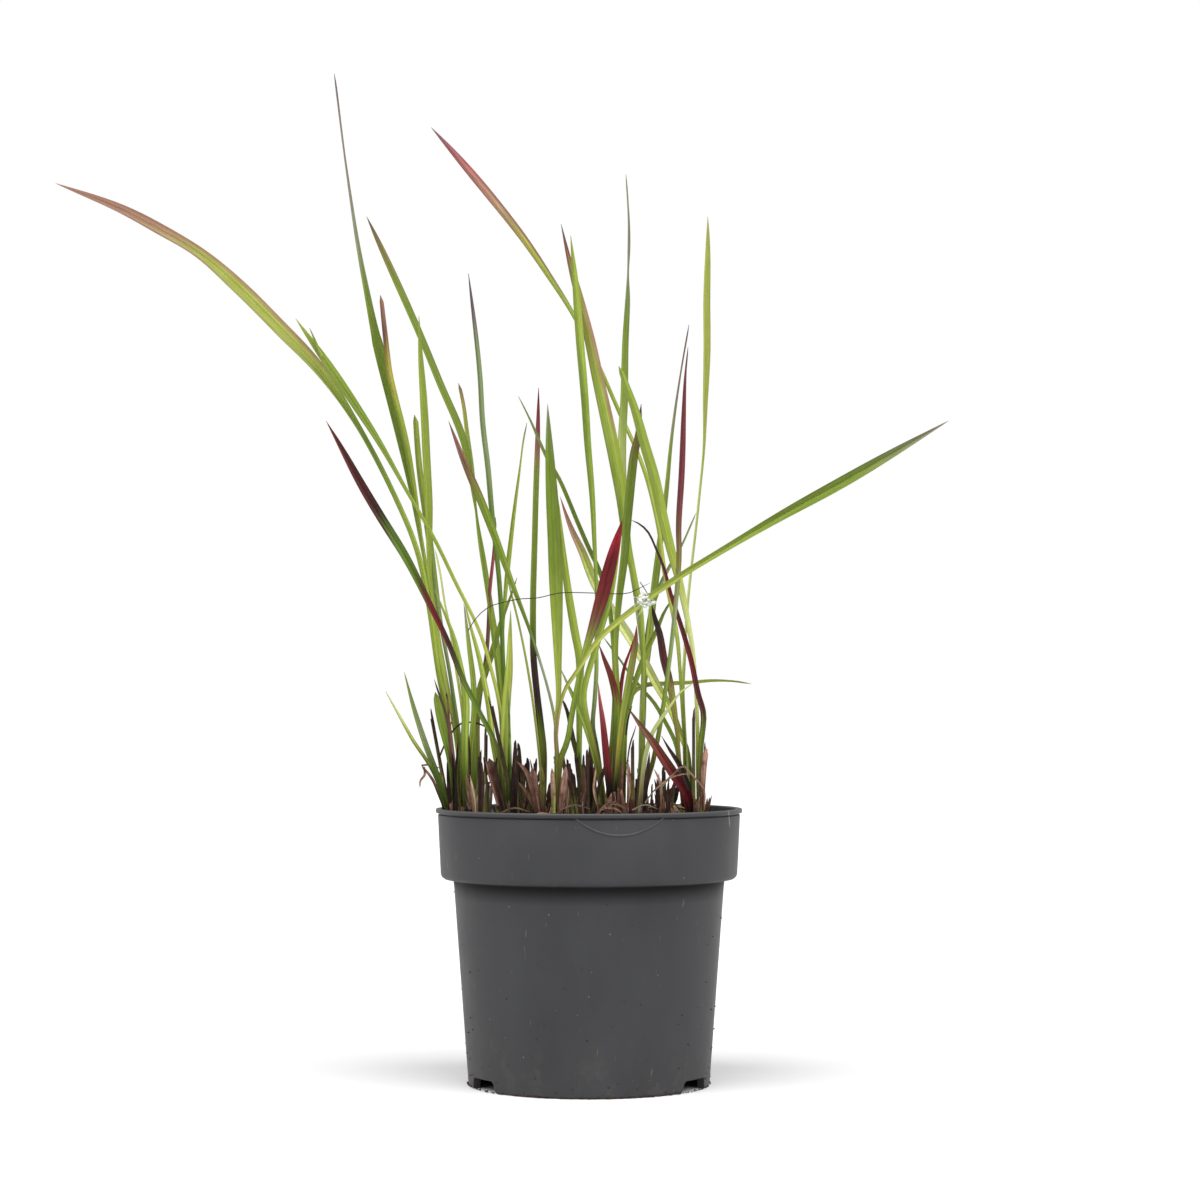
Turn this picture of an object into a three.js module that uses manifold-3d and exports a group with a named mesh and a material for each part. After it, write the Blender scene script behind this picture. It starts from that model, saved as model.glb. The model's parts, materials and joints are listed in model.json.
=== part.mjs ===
// A clump of red-tipped ornamental grass in a plastic nursery pot.
// Millimetres, +Z up. The origin is on the ground, in the middle of the pot.
import * as THREE from "three";
import { mergeVertices } from "three/addons/utils/BufferGeometryUtils.js";
import Module from "manifold-3d";

const wasm = await Module();
wasm.setup();

// The pot
const potHeight = 153;
const rimRadius = 85;
const lipHeight = 2.4;
const lipRound = 0.6;
const collarTopRadius = 83.8;
const collarFootRadius = 82.3;
const collarFoot = 114;
const bodyTopRadius = 75.3;
const baseRadius = 67;
const wall = 2;
const edgeRound = 1.6;
const footRingWidth = 4;
const floorRaise = 6;
const padRadius = 18;
const notchCount = 3;
const notchWidth = 24;
const notchHeight = 5;
const notchSlope = 1.5;
const drainCount = 6;
const drainRadius = 4.5;
const drainRing = 46;
const drainSides = 12;
const roundSides = 48;

// The raised arc on the front of the collar
const arcSpan = 46;
const arcDrop = 10;
const arcCentre = 14;
const arcTop = 149.5;
const ridgeWidth = 1.2;
const ridgeProud = 0.5;

// The soil
const soilEdge = 144;
const soilMound = 5;
const soilRadius = 80.9;
const soilRings = 4;
const clearance = 0.35;
const holeRoom = 0.6;
const holeAbove = 5;

// The shoots: a foot stands in the soil, and the leaves grow out of its top.
const footRadius = 2.3;
const footSides = 6;
const footDepth = 12;
const footAbove = 3;
const leafStart = 1;
const sheathShare = 0.35;
const sheathThickness = 0.7;
const bladeThickness = 1.1;
const foldShare = 0.16;
const segmentLength = 32;
const leanPower = 1.3;

// Leaves are drawn in the front elevation: each route point is [across, up], as seen from in front
// at eye height. Depth then moves a point along its line of sight, so a leaf that
// leans back keeps its place in the elevation.
const viewDistance = 1650;
const eyeAcross = 6.1;
const eyeHeight = 214;

// Dead shoots cut short, standing in a knob
const stubSides = 5;
const stubSeed = 20;
const stubTries = 60;
const stubRoot = 2;
const stubHeights = [10, 34];
const stubRadii = [1.1, 1.9];
const stubLean = 0.32;
const stubTaper = 0.8;
const knobSides = 7;
const knobBelow = 6;
const knobAbove = 1.6;
const knobTaper = 0.7;

// Dry strips lying across each other on the soil
const stripWidth = 3;
const stripRest = 1;
const stripSegments = 4;
const stripMargin = 5;

const colours = {
  pot: { color: 0x525254, roughness: 0.62, metalness: 0 },
  soil: { color: 0x2b201a, roughness: 0.95, metalness: 0 },
  green: { color: 0x6f9234, roughness: 0.55, metalness: 0 },
  light: { color: 0x9db750, roughness: 0.55, metalness: 0 },
  dark: { color: 0x53762b, roughness: 0.55, metalness: 0 },
  olive: { color: 0x8a8a4a, roughness: 0.55, metalness: 0 },
  crimson: { color: 0x8f1c33, roughness: 0.5, metalness: 0 },
  maroon: { color: 0x55262b, roughness: 0.5, metalness: 0 },
  stub: { color: 0x5a3a30, roughness: 0.85, metalness: 0 },
  litter: { color: 0xa98a72, roughness: 0.85, metalness: 0 },
};

const grass = new THREE.Group();

// A closed geometry as a solid, with its shared points merged and collapsed faces dropped.
function solid(geometry) {
  const bare = geometry.index ? geometry.toNonIndexed() : geometry.clone();
  bare.deleteAttribute("normal");
  bare.deleteAttribute("uv");
  const merged = mergeVertices(bare, 1e-3);
  const corners = merged.index.array;
  const faces = [];
  for (let i = 0; i < corners.length; i += 3) {
    const [a, b, c] = corners.slice(i, i + 3);
    if (a !== b && b !== c && c !== a) faces.push(a, b, c);
  }
  return new wasm.Manifold(
    new wasm.Mesh({
      numProp: 3,
      vertProperties: merged.attributes.position.array,
      triVerts: new Uint32Array(faces),
    }),
  );
}

function place(name, shape, colour) {
  const made = shape.getMesh();
  const geometry = new THREE.BufferGeometry();
  geometry.setAttribute("position", new THREE.BufferAttribute(made.vertProperties, 3));
  geometry.setIndex(new THREE.BufferAttribute(made.triVerts, 1));
  geometry.computeVertexNormals();
  const mesh = new THREE.Mesh(geometry, new THREE.MeshStandardMaterial(colours[colour]));
  mesh.name = name;
  grass.add(mesh);
}

// A profile of [radius, height] points turned about the upright axis.
function turned(profile) {
  const points = profile.map(([radius, height]) => new THREE.Vector2(radius, height));
  return solid(new THREE.LatheGeometry(points, roundSides).rotateX(Math.PI / 2));
}

// An upright prism of regular section.
function post(x, y, bottom, top, radius, sides, topRadius = radius) {
  const geometry = new THREE.CylinderGeometry(topRadius, radius, top - bottom, sides);
  geometry.rotateX(Math.PI / 2).translate(x, y, (top + bottom) / 2);
  return solid(geometry);
}

function makePot() {
  const innerCollarFoot = collarFoot + wall;
  const floorTop = floorRaise + wall;
  const body = turned([
    [0, 0],
    [padRadius, 0],
    [padRadius, floorRaise],
    [baseRadius - footRingWidth, floorRaise],
    [baseRadius - footRingWidth, 0],
    ...roundedCorner(baseRadius, 0),
    [bodyTopRadius, collarFoot],
    ...roundedCorner(collarFootRadius, collarFoot),
    [collarTopRadius, potHeight - lipHeight],
    [rimRadius, potHeight - lipHeight + lipRound / 2],
    [rimRadius, potHeight - lipRound],
    [rimRadius - lipRound, potHeight],
    [collarTopRadius - wall + lipRound, potHeight],
    [collarTopRadius - wall, potHeight - lipRound],
    [collarFootRadius - wall, innerCollarFoot],
    [bodyTopRadius - wall, innerCollarFoot],
    [baseRadius - wall, floorTop],
    [0, floorTop],
  ]);
  return body.subtract(notches()).subtract(drains()).add(arcRidge());
}

// Three points round a lower outer corner, from the flat under it to the upright side
function roundedCorner(radius, height) {
  const inset = edgeRound * (1 - Math.SQRT1_2);
  return [
    [radius - edgeRound, height],
    [radius - inset, height + inset],
    [radius, height + edgeRound],
  ];
}

// Arches through the foot ring, one at the back and two beside the front.
function notches() {
  const half = notchWidth / 2;
  const arch = new THREE.Shape();
  arch.moveTo(-half, -1);
  arch.lineTo(half, -1);
  arch.lineTo(half - notchSlope, notchHeight - notchSlope);
  arch.lineTo(half - 2 * notchSlope, notchHeight);
  arch.lineTo(2 * notchSlope - half, notchHeight);
  arch.lineTo(notchSlope - half, notchHeight - notchSlope);
  arch.closePath();
  const depth = footRingWidth * 3;
  let all = null;
  for (let i = 0; i < notchCount; i++) {
    const cut = new THREE.ExtrudeGeometry(arch, { depth, bevelEnabled: false });
    cut.rotateX(Math.PI / 2).translate(0, baseRadius + depth / 2, 0);
    cut.rotateZ((2 * Math.PI * i) / notchCount);
    all = all ? all.add(solid(cut)) : solid(cut);
  }
  return all;
}

function drains() {
  let all = null;
  for (let i = 0; i < drainCount; i++) {
    const angle = (2 * Math.PI * (i + 0.5)) / drainCount;
    const [x, y] = [drainRing * Math.cos(angle), drainRing * Math.sin(angle)];
    const hole = post(x, y, floorRaise - 1, floorRaise + wall + 1, drainRadius, drainSides);
    all = all ? all.add(hole) : hole;
  }
  return all;
}

// The thin raised arc, cut from a skin just outside the collar.
function arcRidge() {
  const radius = (arcSpan * arcSpan) / 8 / arcDrop + arcDrop / 2;
  const half = Math.asin(arcSpan / 2 / radius);
  const band = new THREE.Shape();
  band.absarc(0, 0, radius, -Math.PI / 2 - half, -Math.PI / 2 + half, false);
  band.absarc(0, 0, radius - ridgeWidth, -Math.PI / 2 + half, -Math.PI / 2 - half, true);
  band.closePath();
  const cutter = new THREE.ExtrudeGeometry(band, {
    depth: rimRadius / 2,
    bevelEnabled: false,
    curveSegments: 9,
  });
  cutter.rotateX(Math.PI / 2);
  cutter.translate(arcCentre, -rimRadius / 2, arcTop - arcDrop + radius);
  const skinAt = (radiusAt, height) => [radiusAt + ridgeProud, height];
  const skin = turned([
    [collarFootRadius - wall / 2, collarFoot + wall],
    skinAt(collarFootRadius, collarFoot + wall),
    skinAt(collarTopRadius, potHeight - lipHeight),
    [collarTopRadius - wall / 2, potHeight - lipHeight],
    [collarFootRadius - wall / 2, collarFoot + wall],
  ]);
  return solid(cutter).intersect(skin);
}

function soilHeight(x, y) {
  const share = (x * x + y * y) / (collarTopRadius * collarTopRadius);
  return soilEdge + soilMound * (1 - share);
}

// The point of the front elevation at [across, up], moved back by depth along the line of sight.
function behind(across, up, depth) {
  const scale = (viewDistance + depth) / viewDistance;
  return new THREE.Vector3(
    eyeAcross + (across - eyeAcross) * scale,
    depth,
    eyeHeight + (up - eyeHeight) * scale,
  );
}

function smooth(share) {
  const t = Math.min(Math.max(share, 0), 1);
  return t * t * (3 - 2 * t);
}

function leaf(form, route) {
  return { root: 2.8, slim: 0, peak: 0.6, taper: 1.6, blunt: 0, ...form, route };
}

// A tapering solid along a smooth curve through the points. section(share) gives the size there:
// wide across, thick at the midrib, edges folded forwards, turned about the curve.
// With no width at the far end, the tip is a point.
function loft(points, count, away, section) {
  const curve = new THREE.CatmullRomCurve3(points, false, "centripetal");
  const positions = [];
  const faces = [];
  const tipIsPoint = section(1).wide === 0;
  const rings = tipIsPoint ? count : count + 1;
  for (let i = 0; i < rings; i++) {
    const { wide, thick, fold, turn } = section(i / count);
    const centre = curve.getPointAt(i / count);
    const along = curve.getTangentAt(i / count);
    const side = new THREE.Vector3().crossVectors(away, along).normalize();
    side.applyAxisAngle(along, turn);
    const face = new THREE.Vector3().crossVectors(side, along);
    const corners = [[-wide / 2, fold], [0, thick / 2], [wide / 2, fold], [0, -thick / 2]];
    for (const [across, out] of corners) {
      const corner = centre.clone().addScaledVector(side, across).addScaledVector(face, out);
      positions.push(...corner.toArray());
    }
  }
  // Both faces are split along like diagonals, so that they don't cross where the blade twists.
  for (let a = 0; a < 4 * (rings - 1); a += 4) {
    for (let k = 0; k < 4; k++) {
      const [here, next] = [a + k, a + ((k + 1) % 4)];
      if (k < 2) faces.push(here, next + 4, here + 4, here, next, next + 4);
      else faces.push(here, next, here + 4, next, next + 4, here + 4);
    }
  }
  faces.push(0, 2, 1, 0, 3, 2);
  const last = 4 * (rings - 1);
  if (tipIsPoint) {
    positions.push(...curve.getPointAt(1).toArray());
    for (let k = 0; k < 4; k++) faces.push(last + k, last + ((k + 1) % 4), last + 4);
  } else {
    faces.push(last, last + 1, last + 2, last, last + 2, last + 3);
  }
  const geometry = new THREE.BufferGeometry();
  geometry.setAttribute("position", new THREE.Float32BufferAttribute(positions, 3));
  geometry.setIndex(faces);
  return solid(geometry);
}

// One leaf: a stout sheath at the foot, then a folded blade, widest at its peak.
function leafSolid(foot, { width, turn, reach, root, slim, peak, taper, blunt, route }) {
  const points = [new THREE.Vector3(foot.x, foot.y, foot.z + leafStart)];
  route.forEach(([across, up], i) => {
    const share = ((i + 1) / route.length) ** leanPower;
    points.push(behind(across, up, foot.y + (reach - foot.y) * share));
  });
  let length = 0;
  for (let i = 1; i < points.length; i++) length += points[i].distanceTo(points[i - 1]);
  const count = Math.max(4, Math.round(length / segmentLength));
  return loft(points, count, new THREE.Vector3(0, 1, 0), (share) => {
    const past = Math.max(0, (share - peak) / (1 - peak));
    const rising = root + (width - root) * smooth((share - slim) / (peak - slim));
    const falling = width * (blunt + (1 - blunt) * (1 - past ** taper));
    const sheath = 1 - smooth(share / sheathShare);
    const wide = share < peak ? rising : falling;
    return {
      wide,
      thick: bladeThickness + sheath * Math.max(0, root * sheathThickness - bladeThickness),
      fold: wide * foldShare * (1 - sheath),
      turn: THREE.MathUtils.degToRad(turn) * smooth(share * 2),
    };
  });
}

const tillers = [];

function tiller(name, colour, [across, depth], leaves) {
  const foot = behind(across, soilEdge, depth);
  foot.z = soilHeight(foot.x, foot.y);
  tillers.push({ name, colour, foot, leaves });
}

tiller("left_short", "green", [-76, -10], [
  leaf({ width: 4.4, turn: 25, reach: -22, peak: 0.45 }, [
    [-84.5, 171.5], [-89.5, 186], [-97, 209], [-102, 228.5],
  ]),
  leaf({ width: 2.6, turn: 40, reach: -18, peak: 0.5 }, [
    [-86.5, 173], [-98, 190.5], [-103.5, 199], [-113.5, 217.5],
  ]),
]);
tiller("left_arch", "light", [-72, 2], [
  leaf({ width: 7.9, turn: 10, reach: -60, peak: 0.7, slim: 0.15, taper: 2.2, root: 4 }, [
    [-74.5, 168], [-79, 205.5], [-83.5, 227.5], [-89.5, 268.5], [-96, 297.5], [-109, 328.5],
    [-128.5, 365.5], [-149.5, 396.5], [-171.5, 420], [-194, 442.5], [-216, 461.5], [-238.5, 475],
    [-260.5, 486.5], [-296, 500.5],
  ]),
  leaf({ width: 5.6, turn: 35, reach: 10, peak: 0.6 }, [
    [-73.5, 191], [-79.5, 224], [-85, 257.5], [-88.5, 283], [-89.5, 324], [-91, 353], [-92.5, 382.5],
    [-94, 407.5], [-94.5, 426.5],
  ]),
]);
tiller("left_tall", "green", [-70, 14], [
  leaf({ width: 7.0, turn: 35, reach: 34, peak: 0.58, root: 3.2, taper: 0.7 }, [
    [-73, 185.5], [-79.5, 224], [-84.5, 251.5], [-90, 283], [-98, 326], [-105, 357.5], [-116, 402],
    [-123, 435.5], [-129, 468.5], [-135.5, 513], [-141.5, 561],
  ]),
  leaf({ width: 5.0, turn: 45, reach: 20, peak: 0.4, blunt: 0.6 }, [
    [-73.5, 191], [-83, 235.5], [-88.5, 274], [-93, 302], [-101.5, 353], [-108.5, 382.5], [-111, 395],
    [-113.5, 418], [-115.5, 438],
  ]),
]);
tiller("left_blunt", "green", [-68, 27], [
  leaf({ width: 5.9, turn: 45, reach: 44, peak: 0.5, blunt: 0.7 }, [
    [-71.5, 185.5], [-77, 224], [-83, 257.5], [-86, 277.5], [-90, 308], [-94.5, 339.5], [-97, 371.5],
  ]),
  leaf({ width: 2.4, turn: 20, reach: 64, peak: 0.4 }, [
    [-70, 202], [-73.5, 232.5], [-76.5, 252.5], [-79.5, 267], [-82, 283.5], [-85, 297.5],
  ]),
]);
tiller("left_cut", "dark", [-74, -22], [
  leaf({ width: 4.6, turn: 20, reach: -14, peak: 0.6, blunt: 0.7 }, [
    [-76, 171.5], [-78.5, 187], [-82, 201], [-85.5, 217.5],
  ]),
  leaf({ width: 2.2, turn: 0, reach: -18, peak: 0.3 }, [
    [-75.5, 179.5], [-79, 203.5], [-83, 215.5], [-86, 224.5],
  ]),
]);
tiller("left_sheath", "green", [-64, -14], [
  leaf({ width: 4.6, turn: 5, reach: -30, peak: 0.3 }, [
    [-68.5, 164.5], [-69, 191], [-68.5, 213], [-70.5, 228.5], [-74.5, 247], [-80.5, 263],
    [-85.5, 274.5],
  ]),
  leaf({ width: 3.2, turn: 20, reach: -6, peak: 0.6 }, [
    [-66, 179.5], [-64, 207.5], [-64.5, 224], [-66.5, 241], [-68.5, 258], [-69.5, 267],
  ]),
]);
tiller("left_leaning", "green", [-62, 3], [
  leaf({ width: 5.0, turn: 30, reach: 8, peak: 0.5 }, [
    [-63.5, 168.5], [-64, 190.5], [-64, 204.5], [-60.5, 220.5], [-54.5, 238.5], [-48, 259.5],
    [-43.5, 271], [-40, 281],
  ]),
]);
tiller("left_crimson", "crimson", [-60, 16], [
  leaf({ width: 3.4, turn: 45, reach: 20, peak: 0.4, blunt: 0.5 }, [
    [-62, 179.5], [-62, 204.5], [-60, 221.5], [-57, 238], [-55, 258], [-54.5, 272.5], [-52, 297.5],
    [-51.5, 307.5], [-51, 314.5],
  ]),
]);
tiller("arching_maroon", "maroon", [-48, -40], [
  leaf({ width: 6.0, turn: 15, reach: -85, peak: 0.72, root: 3 }, [
    [-49.5, 168.5], [-52, 188], [-61.5, 207.5], [-70.5, 225.5], [-79, 246.5], [-88.5, 266],
    [-101.5, 291.5], [-116, 316], [-126.5, 332.5], [-139, 355.5], [-146, 368],
  ]),
]);
tiller("frayed", "light", [-46, -24], [
  leaf({ width: 5.4, turn: 10, reach: -35, peak: 0.86, slim: 0.6, root: 1.8 }, [
    [-48, 179.5], [-49.5, 208.5], [-55, 232.5], [-61, 251.5], [-74, 278], [-86.5, 303.5],
    [-102, 330.5], [-116.5, 356], [-129, 375.5], [-144.5, 398.5], [-163, 425],
  ]),
  leaf({ width: 4.8, turn: 10, reach: -30, peak: 0.5 }, [
    [-47, 190.5], [-46, 213], [-44.5, 229.5], [-44, 246.5], [-43.5, 263],
  ]),
  leaf({ width: 3.2, turn: 20, reach: -14, peak: 0.5 }, [
    [-49.5, 168.5], [-54, 193.5], [-56, 210.5], [-58.5, 224], [-61.5, 238], [-66, 254.5], [-69, 267],
  ]),
]);
tiller("purple_tipped", "green", [-45, -6], [
  leaf({ width: 6.4, turn: 45, reach: 30, peak: 0.72, root: 2.6 }, [
    [-48, 190.5], [-50, 218.5], [-53.5, 246.5], [-58.5, 285.5], [-63.5, 321.5], [-70, 357.5],
    [-83.5, 391], [-98, 424], [-113, 457.5], [-123.5, 481.5],
  ]),
  leaf({ width: 4.4, turn: 50, reach: -20, peak: 0.55 }, [
    [-45.5, 191], [-48, 235.5], [-49.5, 268.5], [-54, 318.5], [-56.5, 341], [-59.5, 366], [-61, 391],
    [-63, 413], [-65.5, 435.5], [-67, 450],
  ]),
]);
tiller("pale_pair", "light", [-43, 16], [
  leaf({ width: 3.4, turn: 40, reach: 45, peak: 0.5 }, [
    [-45, 190.5], [-47, 218.5], [-48, 246.5], [-45.5, 279.5], [-42.5, 308], [-38.5, 342],
    [-36.5, 357.5], [-34.5, 367],
  ]),
  leaf({ width: 4.6, turn: 48, reach: 50, peak: 0.6, blunt: 0.5 }, [
    [-45, 179.5], [-48, 213], [-51, 241], [-55.5, 274], [-60.5, 307.5], [-65, 338], [-68, 360.5],
    [-70, 376.5], [-72.5, 389],
  ]),
]);
tiller("red_tipped", "olive", [-26, 30], [
  leaf({ width: 6.0, turn: 45, reach: 62, peak: 0.55, taper: 2.2 }, [
    [-25.5, 183], [-26.5, 198], [-29, 220.5], [-31, 242.5], [-30.5, 293.5], [-29.5, 343], [-28, 386.5],
  ]),
  leaf({ width: 2.4, turn: 10, reach: 20, peak: 0.4 }, [
    [-26.5, 168.5], [-29.5, 199], [-33, 224], [-38.5, 253], [-45, 279.5],
  ]),
]);
tiller("pink_tipped", "green", [-18, -14], [
  leaf({ width: 5.2, turn: 20, reach: -66, peak: 0.8, slim: 0.3, root: 2.4 }, [
    [-18, 174], [-19, 201], [-22, 216], [-26.5, 232], [-33.5, 253], [-41.5, 276], [-51, 301.5],
    [-59.5, 323.5], [-69.5, 346.5], [-78, 368],
  ]),
]);
tiller("broad", "green", [-16, 8], [
  leaf({ width: 8.6, turn: 25, reach: 14, peak: 0.64, slim: 0.2, root: 2.2 }, [
    [-17, 174], [-18.5, 194], [-17, 216], [-17.5, 235.5], [-18.5, 263], [-19.5, 296.5], [-21, 324],
    [-22.5, 357.5], [-23, 377.5],
  ]),
]);
tiller("pale", "light", [-5, 28], [
  leaf({ width: 4.6, turn: 25, reach: 40, peak: 0.6, root: 2.2 }, [
    [-5.5, 179.5], [-5.5, 213], [-5.5, 235.5], [-8.5, 252], [-12, 274], [-15, 299.5], [-17, 324],
  ]),
  leaf({ width: 2.8, turn: 20, reach: 34, peak: 0.5, blunt: 0.4 }, [
    [-5, 174], [-9, 191], [-12, 206], [-15, 214],
  ]),
]);
tiller("crimson_blade", "crimson", [-18, -36], [
  leaf({ width: 6.4, turn: 10, reach: -62, peak: 0.78, root: 3 }, [
    [-16, 179], [-12, 190.5], [-9.5, 205.5], [-6.5, 220.5], [-3, 237], [2, 253.5], [6.5, 268.5],
    [11, 285.5], [14, 297], [18.5, 313],
  ]),
]);
tiller("long_right", "light", [-18, -52], [
  leaf({ width: 6.4, turn: 10, reach: -140, peak: 0.74, slim: 0.1, root: 2 }, [
    [-18.5, 179.5], [-17, 204.5], [-13.5, 218.5], [-7, 228.5], [6, 247.5], [28.5, 266.5],
    [50.5, 282.5], [73, 295.5], [106, 314.5], [139.5, 333], [173, 352.5], [199.5, 368],
  ]),
]);
tiller("upright_green", "dark", [12, 16], [
  leaf({ width: 6.8, turn: 42, reach: 0, peak: 0.45, root: 3.6 }, [
    [13.5, 168], [15, 190.5], [15.5, 218.5], [14.5, 241], [16, 268.5], [19, 292.5], [21.5, 316.5],
    [25.5, 352], [27, 357], [29, 377.5],
  ]),
]);
tiller("narrow_green", "green", [7, -6], [
  leaf({ width: 5.9, turn: 40, reach: -16, peak: 0.75, root: 2 }, [
    [6, 175.5], [4, 188], [2, 199], [3, 213], [4, 229.5], [4, 246.5], [4, 268.5], [3, 291], [1, 324],
    [-1.5, 355], [-3, 380], [-5, 413], [-7.5, 446.5], [-9.5, 471],
  ]),
]);
tiller("slender_back", "olive", [10, 40], [
  leaf({ width: 3.4, turn: 45, reach: 40, peak: 0.5 }, [
    [12, 179.5], [14, 213], [13.5, 241], [10.5, 266], [5, 285.5], [0, 296.5], [-6.5, 313],
    [-16, 335.5], [-23.5, 349], [-32, 368.5], [-38.5, 382],
  ]),
]);
tiller("crimson_shoot", "crimson", [13, -32], [
  leaf({ width: 5.0, turn: 5, reach: -26, peak: 0.2, root: 3.8 }, [
    [10.5, 172], [9, 188], [7.5, 202], [6, 213], [5, 222.5],
  ]),
]);
tiller("low_green", "green", [9, -18], [
  leaf({ width: 3.8, turn: 15, reach: -10, peak: 0.4 }, [
    [7, 163], [4.5, 177], [0.5, 192], [-5, 206.5], [-10.5, 218.5], [-16, 231],
  ]),
  leaf({ width: 3.4, turn: 15, reach: -32, peak: 0.7 }, [
    [7, 166], [4.5, 179.5], [1, 193.5], [-2, 206.5], [-3, 216], [-0.5, 228.5], [3, 239.5], [7, 254.5],
    [10.5, 266], [13.5, 279.5], [15.5, 291], [18, 304.5],
  ]),
]);
tiller("red_hook", "crimson", [14, 4], [
  leaf({ width: 3.6, turn: 10, reach: 2, peak: 0.6 }, [
    [15, 191], [15, 213], [12, 226.5], [8.5, 235.5], [5.5, 244],
  ]),
]);
tiller("olive_red_tip", "olive", [14, -8], [
  leaf({ width: 4.8, turn: 20, reach: -14, peak: 0.3 }, [
    [14.5, 163], [16.5, 188], [18.5, 204.5], [21, 218.5], [23.5, 232.5], [25.5, 243.5], [26.5, 254.5],
  ]),
]);
tiller("dark_red", "maroon", [18, 26], [
  leaf({ width: 3.0, turn: 10, reach: 22, peak: 0.5 }, [
    [16.5, 179.5], [16.5, 202], [18, 218.5], [20, 231], [23, 241],
  ]),
]);
tiller("level", "light", [19, 44], [
  leaf({ width: 3.0, turn: 30, reach: 60, peak: 0.5 }, [
    [19.5, 188], [21, 208.5], [24.5, 217.5], [31, 221.5], [45, 222.5], [56.5, 223], [69, 224],
    [81, 223.5], [90, 222],
  ]),
  leaf({ width: 3.2, turn: 20, reach: 32, peak: 0.6 }, [
    [18.5, 185.5], [20.5, 202], [23.5, 216], [28, 230.5], [33.5, 243.5], [38, 253], [41.5, 261.5],
    [45.5, 268], [49, 274],
  ]),
]);
tiller("broad_olive", "olive", [27, 8], [
  leaf({ width: 8.3, turn: 30, reach: 30, peak: 0.6, root: 3.4 }, [
    [28.5, 176], [30, 198], [30, 218.5], [30, 243], [28.5, 264], [25, 282], [21.5, 299.5], [18.5, 324],
    [14.5, 346.5], [10, 368.5], [4.5, 393.5], [0.5, 413], [-5, 435.5], [-10.5, 455], [-15.5, 477.5],
  ]),
  leaf({ width: 7.0, turn: 45, reach: 46, peak: 0.6, taper: 0.9 }, [
    [30, 202], [30, 235.5], [26, 268.5], [22, 299], [19, 329.5], [18.5, 357.5], [19.5, 380],
    [20.5, 413], [22, 441], [22, 475.5], [20.5, 505],
  ]),
]);
tiller("back_green", "green", [29, 50], [
  leaf({ width: 5.6, turn: 45, reach: 62, peak: 0.5, taper: 0.9 }, [
    [29, 191], [30, 218.5], [33, 246.5], [35.5, 274], [38.5, 298.5], [42, 324], [45, 353.5],
    [48.5, 380], [52, 402], [55.5, 421.5],
  ]),
  leaf({ width: 2.8, turn: 20, reach: 80, peak: 0.5 }, [
    [30, 202], [31, 232.5], [34, 260.5], [39.5, 277], [46, 289.5], [51.5, 299], [56, 309], [59.5, 317],
  ]),
]);
tiller("upright_maroon", "maroon", [30, -14], [
  leaf({ width: 5.7, turn: 40, reach: -34, peak: 0.4, root: 3, taper: 2 }, [
    [31.5, 164.5], [35.5, 179], [41, 209], [44.5, 235.5], [48, 268], [49.5, 291], [49.5, 309],
    [51, 335.5], [52.5, 373], [53.5, 394], [55, 409],
  ]),
]);
tiller("pale_thread", "light", [28, -30], [
  leaf({ width: 2.4, turn: 20, reach: -36, peak: 0.4 }, [
    [31, 181.5], [34.5, 193.5], [39.5, 202], [45, 209.5], [50.5, 217], [58, 222.5],
  ]),
]);
tiller("long_left", "olive", [54, 20], [
  leaf({ width: 6.2, turn: 40, reach: 66, peak: 0.8, slim: 0.4, root: 2.2 }, [
    [53.5, 177], [53, 191], [51.5, 213], [49, 246.5], [45.5, 266], [41.5, 285.5], [38, 310.5],
    [32, 335.5], [25.5, 353], [18.5, 368.5], [4, 401], [-9, 427], [-21.5, 446.5], [-36.5, 468.5],
    [-53.5, 491], [-71.5, 513], [-87, 531.5],
  ]),
]);
tiller("upright_yellow", "light", [56, 32], [
  leaf({ width: 6.2, turn: 50, reach: 26, peak: 0.82, slim: 0.45, root: 1.9 }, [
    [54, 179.5], [52.5, 202], [52, 218.5], [53, 238], [54.5, 263], [57, 291], [60.5, 321.5],
    [63.5, 352], [64.5, 380], [65, 407.5], [65, 435.5], [65.5, 463], [66, 481.5],
  ]),
]);
tiller("right_green", "green", [61, 12], [
  leaf({ width: 7.6, turn: 35, reach: -14, peak: 0.7, blunt: 0.4, root: 2.6 }, [
    [60.5, 176], [60, 202], [58, 236], [54, 263], [50, 279.5], [45.5, 293.5], [40.5, 313], [36, 335.5],
    [30.5, 355], [25.5, 374], [16.5, 398.5],
  ]),
]);
tiller("crimson_stem", "crimson", [62, -4], [
  leaf({ width: 3.2, turn: 10, reach: -8, peak: 0.35, root: 2.6 }, [
    [61.5, 176], [62.5, 190.5], [63.5, 205.5], [60.5, 216.5], [56.5, 235.5], [50.5, 256],
    [45.5, 271.5], [41.5, 286.5], [37, 297.5], [33, 306], [28.5, 310.5], [23.5, 313],
  ]),
]);
tiller("blunt_maroon", "maroon", [53, -2], [
  leaf({ width: 3.8, turn: 10, reach: 0, peak: 0.7, blunt: 0.8, root: 2.4 }, [
    [50, 183], [49, 194], [47, 209], [44.5, 224], [41.5, 235.5], [39, 250.5], [36.5, 258.5],
    [35, 265.5],
  ]),
]);
tiller("yellow_back", "light", [57, 40], [
  leaf({ width: 4.4, turn: 15, reach: 62, peak: 0.5 }, [
    [54.5, 184], [50.5, 194.5], [45.5, 207.5], [38, 220.5], [32, 231.5], [25, 243.5], [19, 253],
    [11.5, 264], [3, 278], [-4, 295.5], [-9, 306], [-13, 316.5], [-16, 326],
  ]),
]);
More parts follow.
